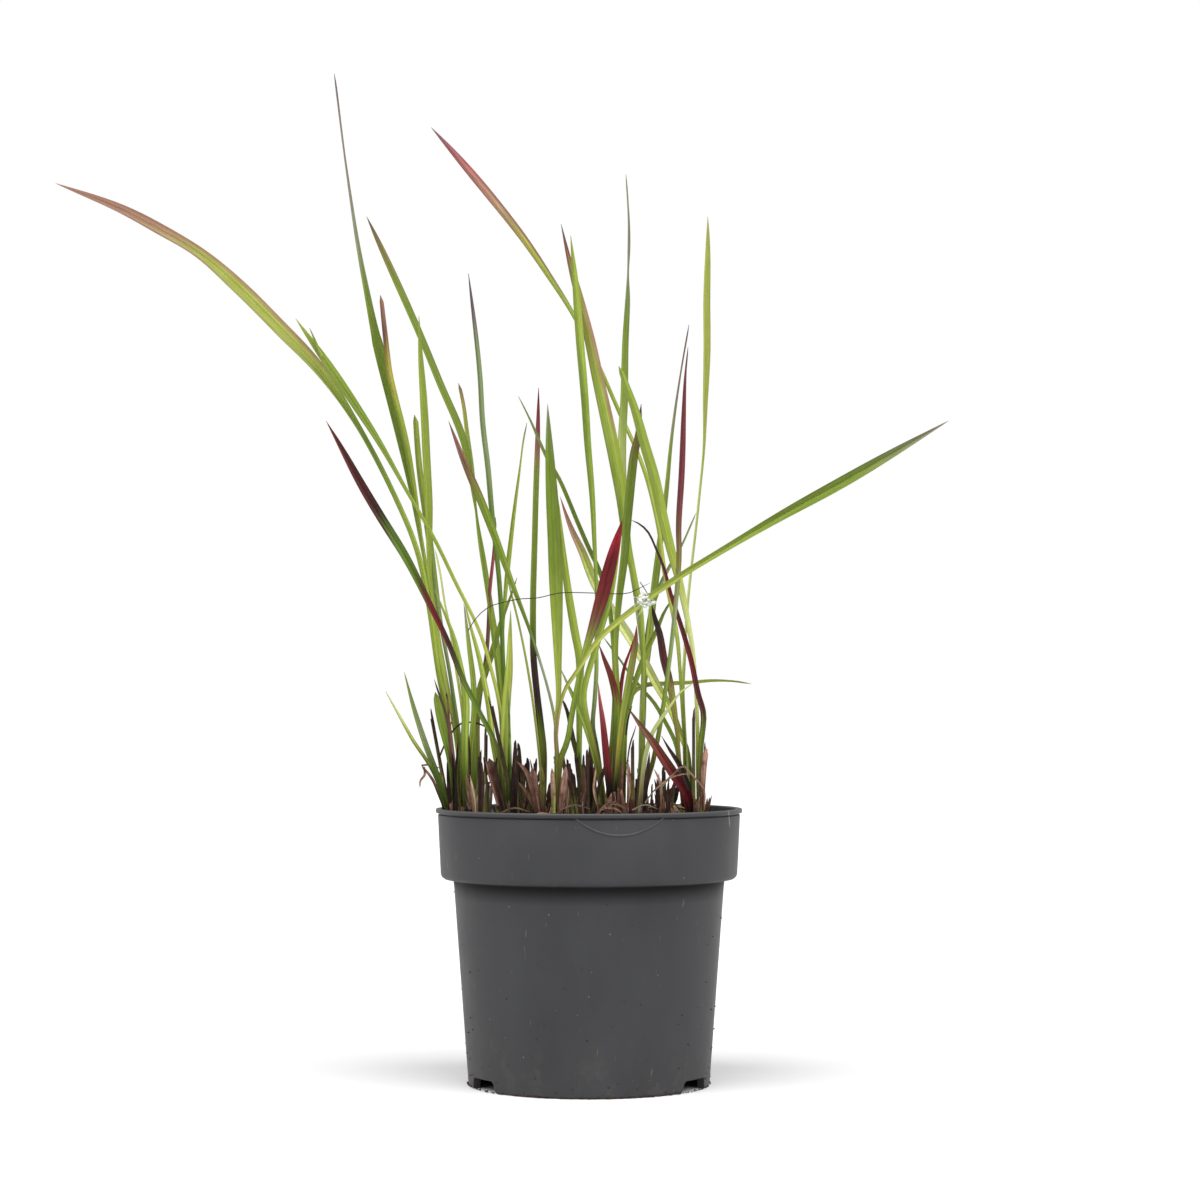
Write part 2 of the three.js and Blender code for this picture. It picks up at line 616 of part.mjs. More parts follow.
tiller("thin_back", "green", [54, 52], [
  leaf({ width: 2.4, turn: 20, reach: 58, peak: 0.4 }, [
    [50, 179.5], [48, 189], [41, 203], [36, 211.5], [29.5, 219], [23.5, 226.5], [16, 237], [8, 248],
  ]),
]);
tiller("red_diagonal", "maroon", [57, -40], [
  leaf({ width: 5.0, turn: 5, reach: -46, peak: 0.2, root: 3.8 }, [
    [54, 161], [48, 170.5], [41, 181], [34.5, 191], [28.5, 199], [21.5, 209],
  ]),
]);

function tillerSolid({ foot, leaves }) {
  const { x, y, z } = foot;
  let shape = post(x, y, z - footDepth, z + footAbove, footRadius, footSides);
  for (const form of leaves) shape = shape.add(leafSolid(foot, form));
  return shape;
}

// Seeded draws between 0 and 1, by a linear congruential rule
function draws(seed) {
  const [factor, step, range] = [1664525, 1013904223, 2 ** 32];
  let state = seed;
  return () => {
    state = (state * factor + step) % range;
    return state / range;
  };
}

function rod(from, to, fromRadius, toRadius) {
  const along = new THREE.Vector3().subVectors(to, from);
  const geometry = new THREE.CylinderGeometry(toRadius, fromRadius, along.length(), stubSides);
  const upright = new THREE.Vector3(0, 1, 0);
  const turnTo = new THREE.Quaternion().setFromUnitVectors(upright, along.clone().normalize());
  geometry.applyQuaternion(turnTo);
  geometry.translate((from.x + to.x) / 2, (from.y + to.y) / 2, (from.z + to.z) / 2);
  return solid(geometry);
}

// A crown of dead shoots: a knob in the soil with cut stubs standing in it. The tall ones are
// given by their tops in the front elevation; the short ones are drawn until they are clear.
const crowns = [];

function crown(name, [across, depth], radius, shortCount, tall = []) {
  const centre = behind(across, soilEdge, depth);
  centre.z = soilHeight(centre.x, centre.y);
  crowns.push({ name, centre, radius, shortCount, tall });
}

crown("stubs_left_edge", [-74.8, 8.5], 3.6, 0, [[-87.5, 203], [-79, 212]]);
crown("stubs_far_left", [-60, -28], 5, 4, [[-61, 182], [-57, 194]]);
crown("stubs_left_front", [-38, -32], 5, 5, [[-54, 210], [-41, 187]]);
crown("stubs_left_middle", [-33, -3], 5.5, 5, [[-39, 186], [-30, 178]]);
crown("stubs_left_back", [-38, 34], 5, 6);
crown("stubs_middle_front", [-3, -54], 6, 6, [[-12, 174], [-1, 182]]);
crown("stubs_middle", [-6, -22], 5.5, 6, [[-15, 182]]);
crown("stubs_centre", [0, 8], 6, 7, [[1, 188]]);
crown("stubs_middle_back", [-8, 52], 6, 7);
crown("stubs_back", [-26, 62], 5.5, 6);
crown("stubs_right_front", [22, -50], 6, 6, [[24, 187]]);
crown("stubs_right_middle", [42, 10], 6, 6);
crown("stubs_right", [41, -32], 5.5, 6);
crown("stubs_far_right", [60, -24], 4.5, 3, [[65, 186], [58, 204]]);
crown("stubs_right_back", [36, 60], 6, 6);

// Tries draws of make(draw) until one stands clear of what has grown there, and adds it.
function addClear(shape, growth, draw, make) {
  for (let attempt = 0; attempt < stubTries; attempt++) {
    const { room, piece } = make(draw);
    if (!room || !room.intersect(growth).isEmpty()) continue;
    return shape ? shape.add(piece) : piece;
  }
  return shape;
}

function crownSolid({ centre, radius, shortCount, tall }, growth, draw) {
  const between = ([low, high]) => low + (high - low) * draw();
  const { x, y, z } = centre;
  const rootAt = (angle, out) =>
    new THREE.Vector3(x + out * Math.cos(angle), y + out * Math.sin(angle), z - stubRoot);
  let shape = post(x, y, z - knobBelow, z + knobAbove, radius, knobSides, radius * knobTaper);
  for (const [across, up] of tall) {
    const top = behind(across, up, y);
    const root = rootAt(top.x > x ? 0 : Math.PI, radius * 0.4);
    shape = shape.add(rod(root, top, stubRadii[1], stubRadii[0]));
  }
  for (let i = 0; i < shortCount; i++) {
    const angle = (2 * Math.PI * (i + draw() / 2)) / shortCount;
    const root = rootAt(angle, radius * 0.55);
    shape = addClear(shape, growth, draw, () => {
      const heading = angle + 2 * draw() - 1;
      const height = between(stubHeights);
      const out = height * stubLean * draw();
      const wide = between(stubRadii);
      const top = root.clone();
      top.add(new THREE.Vector3(out * Math.cos(heading), out * Math.sin(heading), height));
      return {
        room: rod(root, top, wide + clearance, wide * stubTaper + clearance),
        piece: rod(root, top, wide, wide * stubTaper),
      };
    });
  }
  return shape;
}

const litters = [
  { name: "litter_front", at: [-24, -64], reach: 22, count: 4, lift: 7 },
  { name: "litter_right", at: [44, -10], reach: 24, count: 4, lift: 9 },
  { name: "litter_back", at: [12, 66], reach: 20, count: 4, lift: 6 },
];

function litterSolid({ at: [x, y], reach, count, lift }, growth, draw) {
  const up = new THREE.Vector3(0, 0, 1);
  const over = (px, py, above) => new THREE.Vector3(px, py, soilHeight(px, py) + above);
  const strip = (points, width) =>
    loft(points, stripSegments, up, (share) => ({
      wide: width * (0.6 + 0.4 * Math.sin(Math.PI * share)),
      thick: bladeThickness,
      fold: 0,
      turn: 0,
    }));
  let shape = null;
  for (let i = 0; i < count; i++) {
    shape = addClear(shape, growth, draw, () => {
      const angle = (Math.PI * (i + draw())) / count;
      const ends = [1, -1].map((sign) => {
        const out = sign * reach * (0.6 + 0.4 * draw());
        return over(x + out * Math.cos(angle), y + out * Math.sin(angle), stripRest);
      });
      if (ends.some((end) => Math.hypot(end.x, end.y) > soilRadius - stripMargin)) return {};
      const points = [ends[0], over(x, y, lift), ends[1]];
      return { room: strip(points, stripWidth + 2 * clearance), piece: strip(points, stripWidth) };
    });
  }
  return shape;
}

function makeSoil() {
  const floorTop = floorRaise + wall + clearance;
  const inside = wall + clearance;
  const step = collarFoot + wall + clearance;
  const top = [];
  for (let i = 0; i <= soilRings; i++) {
    const radius = soilRadius * (1 - i / soilRings);
    top.push([radius, soilHeight(radius, 0)]);
  }
  let body = turned([
    [0, floorTop],
    [baseRadius - inside, floorTop],
    [bodyTopRadius - inside, step],
    [collarFootRadius - inside, step],
    ...top,
  ]);
  const hole = ({ x, y, z }, depth, radius, sides) =>
    post(x, y, z - depth - clearance, z + holeAbove, radius + holeRoom, sides);
  for (const { foot } of tillers) {
    body = body.subtract(hole(foot, footDepth, footRadius, footSides));
  }
  for (const { centre, radius } of crowns) {
    body = body.subtract(hole(centre, knobBelow, radius, knobSides));
  }
  return body;
}

place("pot", makePot(), "pot");
place("soil", makeSoil(), "soil");

let growth = null;
for (const shoot of tillers) {
  const shape = tillerSolid(shoot);
  place(shoot.name, shape, shoot.colour);
  growth = growth ? growth.add(shape) : shape;
}

const draw = draws(stubSeed);
for (const dead of crowns) {
  const shape = crownSolid(dead, growth, draw);
  place(dead.name, shape, "stub");
  growth = growth.add(shape);
}

for (const heap of litters) {
  const shape = litterSolid(heap, growth, draw);
  place(heap.name, shape, "litter");
  growth = growth.add(shape);
}

export default grass;
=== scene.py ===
import json
import math
import bpy
import numpy as np
from mathutils import Matrix, Vector, noise


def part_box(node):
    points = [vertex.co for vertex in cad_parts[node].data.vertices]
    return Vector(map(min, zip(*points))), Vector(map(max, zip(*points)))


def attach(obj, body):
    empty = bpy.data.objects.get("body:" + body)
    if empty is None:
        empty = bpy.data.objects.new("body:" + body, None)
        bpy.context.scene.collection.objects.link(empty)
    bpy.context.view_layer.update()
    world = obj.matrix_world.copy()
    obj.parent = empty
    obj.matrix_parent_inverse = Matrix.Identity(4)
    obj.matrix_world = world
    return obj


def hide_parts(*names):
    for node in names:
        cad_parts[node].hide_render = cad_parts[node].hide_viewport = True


# A red-tipped ornamental grass in a plastic nursery pot, dressed over its solids.
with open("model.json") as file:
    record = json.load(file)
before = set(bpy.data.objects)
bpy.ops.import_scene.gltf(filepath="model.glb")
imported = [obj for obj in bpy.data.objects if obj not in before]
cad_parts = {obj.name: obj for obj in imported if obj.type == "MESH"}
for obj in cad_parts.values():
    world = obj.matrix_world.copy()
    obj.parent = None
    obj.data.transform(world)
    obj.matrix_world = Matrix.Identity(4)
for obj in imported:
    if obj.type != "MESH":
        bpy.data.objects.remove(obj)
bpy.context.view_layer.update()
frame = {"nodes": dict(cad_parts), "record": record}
mm = 0.001
dice = np.random.default_rng(11)
noise.seed_set(11)
upright = (0, 0, 1)
wholeTurn = 2 * math.pi
looseTurn = 6  # radians, nearly a whole turn

# Colours as they look in soft daylight, sRGB, and how far the studio's lamps lighten them
tones = {
    "pale": "BBC47C", "lime": "A2AA4D", "bright": "8E9F3D", "fresh": "84973A", "leaf": "72862C",
    "deep": "566E22", "greyGreen": "7A885A", "sage": "8C9274", "olive": "7A7734", "moss": "46451F",
    "gold": "A2983F", "dusk": "857C6C", "bark": "6C4A38", "brown": "4E3226", "umber": "34201A",
    "soot": "201410", "tan": "A58468", "straw": "B8A07C", "rosewood": "98705E", "clay": "8C5A42",
    "red": "A04434", "rose": "95464A", "crimson": "991422", "wine": "64121A", "brick": "7A2620",
    "sienna": "6A2E22", "wineBrown": "6C2D33", "maroon": "481E1E", "plum": "665058",
}
lampGain = .82


def linear(code):
    channels = [int(code[i:i + 2], 16) / 255 for i in (0, 2, 4)]
    return np.array([c / 12.92 if c < .04045 else ((c + .055) / 1.055) ** 2.4 for c in channels])


palette = {name: linear(code) * lampGain for name, code in tones.items()}


def smooth(share):
    share = np.clip(share, 0, 1)
    return share * share * (3 - 2 * share)


# Selecting, joining and finishing pieces

def clearSelection():
    if bpy.context.object and bpy.context.object.mode != "OBJECT":
        bpy.ops.object.mode_set(mode="OBJECT")
    bpy.ops.object.select_all(action="DESELECT")


def pick(*pieces):
    clearSelection()
    for piece in pieces:
        piece.select_set(True)
    bpy.context.view_layer.objects.active = pieces[0]


def editAll():
    bpy.ops.object.mode_set(mode="EDIT")
    bpy.ops.mesh.select_all(action="SELECT")


def leaveEdit():
    bpy.ops.object.mode_set(mode="OBJECT")


def named(name):
    piece = bpy.context.object
    piece.name = piece.data.name = name
    return piece


def applyAll(piece):
    pick(piece)
    for modifier in list(piece.modifiers):
        bpy.ops.object.modifier_apply(modifier=modifier.name)


def freeze(piece):
    pick(piece)
    bpy.ops.object.transform_apply(location=True, rotation=True, scale=True)


def join(name, parts):
    pick(*parts)
    if len(parts) > 1:
        bpy.ops.object.join()
    return named(name)


def remove(piece):
    bpy.data.objects.remove(piece)


def shadeSmooth(piece, angle):
    pick(piece)
    bpy.ops.object.shade_smooth_by_angle(angle=math.radians(angle))


def assign(piece, slot, *nodes):
    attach(piece, "root")
    if nodes:
        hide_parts(*nodes)


def dress(piece, material, slot, *nodes):
    piece.data.materials.clear()
    piece.data.materials.append(material)
    assign(piece, slot, *nodes)


# Building materials from nodes. Each socket knows the node tree that it belongs to.

def newMaterial(name, roughness, specular):
    material = bpy.data.materials.new(name)
    material.use_nodes = True
    skin = material.node_tree.nodes["Principled BSDF"]
    skin.inputs["Roughness"].default_value = roughness
    skin.inputs["Specular IOR Level"].default_value = specular
    return material, material.node_tree, skin


def add(tree, kind, inputs, **settings):
    made = tree.nodes.new("ShaderNode" + kind)
    for key, value in settings.items():
        setattr(made, key, value)
    for key, value in inputs.items():
        if isinstance(value, bpy.types.NodeSocket):
            tree.links.new(value, made.inputs[key])
        else:
            made.inputs[key].default_value = value
    return made


def coordinates(tree, kind):
    return add(tree, "TexCoord", {}).outputs[kind]


def axesOf(vector):
    return add(vector.id_data, "SeparateXYZ", {"Vector": vector}).outputs


def stretched(vector, scale):
    return add(vector.id_data, "Mapping", {"Vector": vector, "Scale": scale}).outputs["Vector"]


def cloud(vector, scale, detail=3, rough=.55):
    inputs = {"Vector": vector, "Scale": scale, "Detail": detail, "Roughness": rough}
    return add(vector.id_data, "TexNoise", inputs).outputs["Fac"]


def spread(value, low, high, fromLow=.3, fromHigh=.7):
    inputs = {"Value": value, "From Min": fromLow, "From Max": fromHigh, "To Min": low, "To Max": high}
    return add(value.id_data, "MapRange", inputs).outputs["Result"]


def sums(kind, first, second=0.0):
    return add(first.id_data, "Math", {0: first, 1: second}, operation=kind).outputs["Value"]


def times(first, second):
    return sums("MULTIPLY", first, second)


def blendOf(share, first, second):
    tree = share.id_data
    made = tree.nodes.new("ShaderNodeMix")
    made.data_type = "RGBA"
    inputs = {"VALUE": {"Factor": share}, "RGBA": {"A": first, "B": second}}
    for socket in made.inputs:
        wanted = inputs.get(socket.type, {}).get(socket.name)
        if isinstance(wanted, bpy.types.NodeSocket):
            tree.links.new(wanted, socket)
        elif wanted is not None:
            socket.default_value = wanted
    return next(out for out in made.outputs if out.type == "RGBA")


def colour(name):
    return (*palette[name], 1)


def grey(level):
    return (level, level, level, 1)


def finishSkin(skin, base, relief, strength, distance):
    tree = base.id_data
    tree.links.new(base, skin.inputs["Base Color"])
    made = add(tree, "Bump", {"Height": relief, "Strength": strength, "Distance": distance})
    tree.links.new(made.outputs["Normal"], skin.inputs["Normal"])


# Heights and places here are in metres, from the foot and the middle of the pot. In this and the
# next dictionaries a cloud has its scale, detail and roughness, and a relief its strength and height.
plastic = {
    "dark": (.0215, .0217, .0234, 1), "light": (.031, .0313, .0337, 1),
    "mottleCloud": (28, 4), "mottleStretch": (1, 1, .5),
    "dust": (.17, .13, .1, 1), "dustHeights": (.001, .035), "dustShare": .2, "dustRange": (.5, .74),
    "dustCloud": (70, 6, .7), "dustStretch": (1, 1, .8),
    "fineScratch": grey(.22), "fineShare": .3, "fineRange": (.72, .8),
    "fineCloud": (520, 2), "fineStretch": (1, 1, .12),
    "speck": (.3, .29, .27, 1), "specks": 110.0, "speckShare": .45, "speckHalf": (.02, .05),
    "scratch": grey(.3), "scratchAcross": .0765, "scratchLevel": .1475, "scratchSlope": -.12,
    "scratchShare": .5, "scratchHalf": (.0001, .0004), "scratchFoot": (.1435, .1455),
    # Painted highlight on the top of the lip
    "front": (-.02, -.01), "lip": (.085, .085, .082, 1), "lipHeights": (.1518, .1528), "lipShare": .55,
    # Painted shade in the crease under the collar
    "grime": grey(.002), "grimeShare": .65, "creaseFoot": (.1035, .112), "creaseTop": (.1135, .1145),
    "shine": (.32, .06), "roughness": (.44, .6), "grainCloud": (1500, 2), "grainShare": .35,
    "flowCloud": (90, 3), "flowStretch": (1, 1, .1), "relief": (.1, .0005),
    # Painted highlight: the arc's colours make the ridge lighter than the collar
    "arcDark": (.034, .034, .037, 1), "arcLight": (.065, .065, .07, 1), "arcCloud": (160, 3, .6),
    "arcEnds": (.042, .042, .045, 1), "arcEndHeights": (.1415, .1455), "arcRelief": (.2, .0003),
}


def potPlastic():
    material, tree, skin = newMaterial("potPlastic", .5, .32)
    spot = coordinates(tree, "Object")
    axes = axesOf(spot)
    height = axes["Z"]
    mottle = cloud(stretched(spot, plastic["mottleStretch"]), *plastic["mottleCloud"])
    base = blendOf(spread(mottle, 0, 1), plastic["dark"], plastic["light"])
    # Dried splashes and dust gather low on the wall
    low = spread(height, 1, 0, *plastic["dustHeights"])
    stain = cloud(stretched(spot, plastic["dustStretch"]), *plastic["dustCloud"])
    stain = times(spread(stain, 0, plastic["dustShare"], *plastic["dustRange"]), low)
    base = blendOf(stain, base, plastic["dust"])
    # Fine pale scratches and specks
    fine = cloud(stretched(spot, plastic["fineStretch"]), *plastic["fineCloud"])
    fine = spread(fine, 0, plastic["fineShare"], *plastic["fineRange"])
    base = blendOf(fine, base, plastic["fineScratch"])
    speck = add(tree, "TexVoronoi", {"Vector": spot, "Scale": plastic["specks"]}).outputs["Distance"]
    speck = spread(speck, plastic["speckShare"], 0, *plastic["speckHalf"])
    base = blendOf(speck, base, plastic["speck"])
    # One pale scratch on the front of the collar, under the lip
    bend = times(sums("SUBTRACT", height, plastic["scratchLevel"]), plastic["scratchSlope"])
    off = sums("SUBTRACT", sums("SUBTRACT", axes["X"], plastic["scratchAcross"]), bend)
    scratch = spread(sums("ABSOLUTE", off), plastic["scratchShare"], 0, *plastic["scratchHalf"])
    scratch = times(scratch, spread(axes["Y"], 1, 0, *plastic["front"]))
    scratch = times(scratch, spread(height, 0, 1, *plastic["scratchFoot"]))
    base = blendOf(scratch, base, plastic["scratch"])
    # Painted highlight: the top of the lip is paler, as lit from above
    lipHighlight = spread(height, 0, plastic["lipShare"], *plastic["lipHeights"])
    base = blendOf(lipHighlight, base, plastic["lip"])
    # Painted shade in the crease under the collar, where the collar shadows the wall, with less shine there
    crease = spread(height, 0, 1, *plastic["creaseFoot"])
    crease = times(crease, spread(height, 1, 0, *plastic["creaseTop"]))
    base = blendOf(times(crease, plastic["grimeShare"]), base, plastic["grime"])
    tree.links.new(spread(crease, *plastic["shine"], 0, 1), skin.inputs["Specular IOR Level"])
    tree.links.new(spread(mottle, *plastic["roughness"]), skin.inputs["Roughness"])
    grain = times(cloud(spot, *plastic["grainCloud"]), plastic["grainShare"])
    flow = cloud(stretched(spot, plastic["flowStretch"]), *plastic["flowCloud"])
    finishSkin(skin, base, sums("ADD", grain, flow), *plastic["relief"])
    return material


def wornPlastic():
    material, tree, skin = newMaterial("wornPlastic", .6, .3)
    spot = coordinates(tree, "Object")
    # Painted highlight: the ridge is painted lighter than the collar, in a mottle
    arcMottle = cloud(spot, *plastic["arcCloud"])
    base = blendOf(spread(arcMottle, 0, 1), plastic["arcDark"], plastic["arcLight"])
    # The painted highlight fades towards the ends of the arc, into the collar
    base = blendOf(spread(axesOf(spot)["Z"], 0, 1, *plastic["arcEndHeights"]), base, plastic["arcEnds"])
    finishSkin(skin, base, arcMottle, *plastic["arcRelief"])
    return material


ground = {
    "coarseCloud": (130, 5, .7), "fineCloud": (900, 4, .7), "paleShare": .6, "paleRange": (.5, .75),
    "gap": (.008, .005, .004, 1), "gapShare": .8, "gapRange": (.25, .45), "relief": (.8, .0012),
}


def earth():
    material, tree, skin = newMaterial("pottingSoil", .95, .2)
    spot = coordinates(tree, "Object")
    coarse, fine = cloud(spot, *ground["coarseCloud"]), cloud(spot, *ground["fineCloud"])
    base = blendOf(spread(coarse, 0, 1), colour("soot"), colour("umber"))
    base = blendOf(spread(fine, 0, ground["paleShare"], *ground["paleRange"]), base, colour("brown"))
    # Painted shade in the hollows between the crumbs, where the fine relief is low
    base = blendOf(spread(fine, ground["gapShare"], 0, *ground["gapRange"]), base, ground["gap"])
    finishSkin(skin, base, sums("ADD", coarse, fine), *ground["relief"])
    return material


living = {
    "veins": 3.46, "veinLight": (.95, 1.05), "veinRelief": .6,
    "streaks": (15, 1.1, 1), "streakLight": (.76, 1.2), "mottles": (5, 9, 1), "mottleLight": (.9, 1.1),
    "warmth": (7, .7, 2), "hues": (.488, .512), "saturations": (1.05, .95), "roughness": (.42, .58),
    "ribValue": 1.5, "ribSaturation": .75, "ribShare": .34, "ribHalf": (.012, .045),
    "relief": (.35, .00025),
}


def bladeSkin():
    # U runs across the blade, one unit wide, and V along it in decimetres
    material, tree, skin = newMaterial("bladeSkin", .5, .22)
    own = add(tree, "Attribute", {}, attribute_name="bladeColour").outputs["Color"]
    flat = coordinates(tree, "UV")
    across = sums("FRACT", axesOf(flat)["X"])
    middle = sums("ABSOLUTE", sums("SUBTRACT", across, .5))
    veins = add(tree, "TexWave", {"Vector": flat, "Scale": living["veins"]}).outputs["Fac"]
    streak = cloud(stretched(flat, living["streaks"]), 1, 3)
    mottle = cloud(stretched(flat, living["mottles"]), 1, 4)
    light = times(spread(streak, *living["streakLight"]), spread(mottle, *living["mottleLight"]))
    light = times(light, spread(veins, *living["veinLight"], 0, 1))
    warm = cloud(stretched(flat, living["warmth"]), 1, 2)
    shades = {"Color": own, "Value": light, "Saturation": spread(mottle, *living["saturations"]),
              "Hue": spread(warm, *living["hues"])}
    base = add(tree, "HueSaturation", shades).outputs["Color"]
    # The midrib is paler
    ribShades = {"Color": own, "Value": living["ribValue"], "Saturation": living["ribSaturation"]}
    pale = add(tree, "HueSaturation", ribShades).outputs["Color"]
    base = blendOf(spread(middle, living["ribShare"], 0, *living["ribHalf"]), base, pale)
    tree.links.new(spread(streak, *living["roughness"]), skin.inputs["Roughness"])
    relief = sums("ADD", times(veins, living["veinRelief"]), streak)
    finishSkin(skin, base, relief, *living["relief"])
    return material


withered = {
    "fibreCloud": (1300, 3, .6), "fibreStretch": (1, 1, .07), "fibreLight": (.6, 1.4),
    "patchCloud": (220, 4, .6), "patchLight": (.75, 1.3), "saturations": (1.1, .8),
    "darkShare": .5, "darkRange": (.28, .42), "relief": (.7, .0005),
}


def drySkin():
    # Weathered sheaths: fibres run up and down
    material, tree, skin = newMaterial("drySheath", .85, .2)
    own = add(tree, "Attribute", {}, attribute_name="bladeColour").outputs["Color"]
    spot = coordinates(tree, "Object")
    fibre = cloud(stretched(spot, withered["fibreStretch"]), *withered["fibreCloud"])
    patch = cloud(spot, *withered["patchCloud"])
    light = times(spread(fibre, *withered["fibreLight"]), spread(patch, *withered["patchLight"]))
    shades = {"Color": own, "Value": light, "Saturation": spread(patch, *withered["saturations"])}
    base = add(tree, "HueSaturation", shades).outputs["Color"]
    dark = spread(patch, withered["darkShare"], 0, *withered["darkRange"])
    base = blendOf(dark, base, colour("soot"))
    finishSkin(skin, base, fibre, *withered["relief"])
    return material


web = {
    "dark": (.42, .45, .38, 1), "light": (.8, .82, .76, 1), "cloud": (900, 4, .7), "relief": (.8, .0006),
}


def webSkin():
    material, tree, skin = newMaterial("paleFluff", .9, .2)
    tangle = cloud(coordinates(tree, "Object"), *web["cloud"])
    base = blendOf(spread(tangle, 0, 1), web["dark"], web["light"])
    finishSkin(skin, base, tangle, *web["relief"])
    return material


# Camera, light and floor

studio = {
    "eye": (6.1, -1650, 214), "lens": 89.1, "rise": .0819, "nearest": .05,
    "horizon": 1.0, "zenith": .12, "horizonEnds": (.26, .5),
    "floorSize": 12.0, "floorPatch": 3, "floorTint": (.725, .735),
    "lamps": [("leftLamp", 2.9, 55, (-.85, -.8, 1.55)), ("rightLamp", 2.9, 55, (.85, -.8, 1.55))],
}


def setCamera():
    camera = bpy.data.objects.new("camera", bpy.data.cameras.new("camera"))
    bpy.context.collection.objects.link(camera)
    camera.location = Vector(studio["eye"]) * mm
    camera.rotation_euler = (math.pi / 2, 0, 0)
    camera.data.lens = studio["lens"]
    camera.data.shift_y = studio["rise"]
    camera.data.clip_start = studio["nearest"]
    bpy.context.scene.camera = camera


def setLights():
    for name, strength, softness, source in studio["lamps"]:
        sun = bpy.data.lights.new(name, "SUN")
        sun.energy = strength
        sun.angle = math.radians(softness)
        lamp = bpy.data.objects.new(name, sun)
        lamp.rotation_euler = Vector(source).to_track_quat("Z", "Y").to_euler()
        bpy.context.collection.objects.link(lamp)

    world = bpy.data.worlds.new("studio")
    world.use_nodes = True
    tree = world.node_tree
    sky = tree.nodes["Background"]
    sky.inputs["Color"].default_value = (1, 1, 1, 1)
    upward = axesOf(coordinates(tree, "Generated"))["Z"]
    glow = spread(upward, studio["horizon"], studio["zenith"], *studio["horizonEnds"])
    tree.links.new(glow, sky.inputs["Strength"])
    bpy.context.scene.world = world
    bpy.context.scene.view_settings.view_transform = "Standard"


def setFloor():
    clearSelection()
    bpy.ops.mesh.primitive_plane_add(size=studio["floorSize"])
    floor = named("floor")
    material, tree, skin = newMaterial("paleFloor", .9, .1)
    tint = spread(cloud(coordinates(tree, "Object"), studio["floorPatch"], 2), *studio["floorTint"])
    tree.links.new(tint, skin.inputs["Base Color"])
    floor.data.materials.append(material)


setCamera()
setLights()
setFloor()
skins = {
    "pot": potPlastic(), "worn": wornPlastic(), "soil": earth(), "blade": bladeSkin(), "dry": drySkin(),
    "web": webSkin(),
}
print("studio and materials ready")


# The pot: one turned wall with a collar, a lip and a foot ring

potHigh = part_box("pot")[1]
pot = {
    "height": potHigh.z / mm, "rim": potHigh.x / mm, "wall": 2, "steps": 144, "smoothAngle": 32,
    "lipHeight": 2.4, "lipRound": .7, "collarTop": 83.8, "collarFoot": 82.3, "collarLevel": 114,
    "collarRound": 3.2, "bodyTop": 75.3, "base": 67, "edgeRound": 1.6, "footRing": 4, "chamfer": .4,
    "floorRaise": 6, "pad": 18, "notch": (29, 14, 6.6), "notches": 3, "notchRound": 2,
    "notchTaper": .76, "drainRadius": 4.5, "drainRing": 46, "drainLevel": 7, "drains": 6,
    "arcSpan": 46, "arcDrop": 9, "arcCentre": 16.6, "arcTop": 150.5, "arcRadius": .6, "arcSmooth": 60,
}


def corner(radius, level, size, start, end, points=5):
    # Points on a quarter round whose centre is at radius and level
    angles = np.radians(np.linspace(start, end, points))
    return [(radius + size * math.cos(a), level + size * math.sin(a)) for a in angles]


def potOutline():
    # The wall's section, once round, with a small bevel of its own at each corner
    top, rim, wall, lip = pot["height"], pot["rim"], pot["wall"], pot["lipRound"]
    base, body, collar, skirt = pot["base"], pot["bodyTop"], pot["collarTop"], pot["collarFoot"]
    edge, curve, level, cut = pot["edgeRound"], pot["collarRound"], pot["collarLevel"], pot["chamfer"]
    pad, ring, raised = pot["pad"], base - pot["footRing"], pot["floorRaise"]
    lipFoot = top - pot["lipHeight"]
    foot = [(0, 0), (pad, 0), (pad, raised), (ring, raised), (ring, cut), (ring + cut, 0),
            *corner(base - edge, edge, edge, -90, 0)]
    crease = [(body - .5, level - 5), (body, level - .8), (body + .8, level),
              *corner(skirt - curve, level + curve, curve, -90, 0)]
    # A groove parts the collar from the lip
    groove = [(collar, lipFoot - 1.3), (collar - .15, lipFoot - 1), (collar - .9, lipFoot - .6),
              (collar - .9, lipFoot - .1), (collar - .6, lipFoot)]
    rolled = [*corner(rim - lip, lipFoot + lip, lip, -90, 0), *corner(rim - lip, top - lip, lip, 0, 90),
              *corner(collar - wall + lip, top - lip, lip, 90, 180)]
    inside = [(skirt - wall, level + wall + 1), (skirt - wall - 1, level + wall),
              (body - wall + 1, level + wall), (body - wall, level + wall - 1),
              (base - wall, raised + wall + 2), (base - wall - 2, raised + wall), (0, raised + wall)]
    return foot + crease + groove + rolled + inside


def cutWith(piece, cutter):
    boolean = piece.modifiers.new("cut", "BOOLEAN")
    boolean.object, boolean.operation, boolean.solver = cutter, "DIFFERENCE", "EXACT"
    applyAll(piece)
    remove(cutter)


def turnWall():
    clearSelection()
    bpy.ops.mesh.primitive_plane_add(size=mm)
    piece = named("nurseryPot")
    editAll()
    bpy.ops.mesh.merge(type="CENTER")
    outline = potOutline()
    for (r0, z0), (r1, z1) in zip(outline, outline[1:]):
        move = ((r1 - r0) * mm, 0, (z1 - z0) * mm)
        bpy.ops.mesh.extrude_region_move(TRANSFORM_OT_translate={"value": move})
    bpy.ops.mesh.select_all(action="SELECT")
    bpy.ops.mesh.spin(steps=pot["steps"], angle=wholeTurn, center=(0, 0, 0), axis=upright)
    bpy.ops.mesh.select_all(action="SELECT")
    bpy.ops.mesh.remove_doubles(threshold=.00002)
    bpy.ops.mesh.normals_make_consistent(inside=False)
    leaveEdit()
    return piece


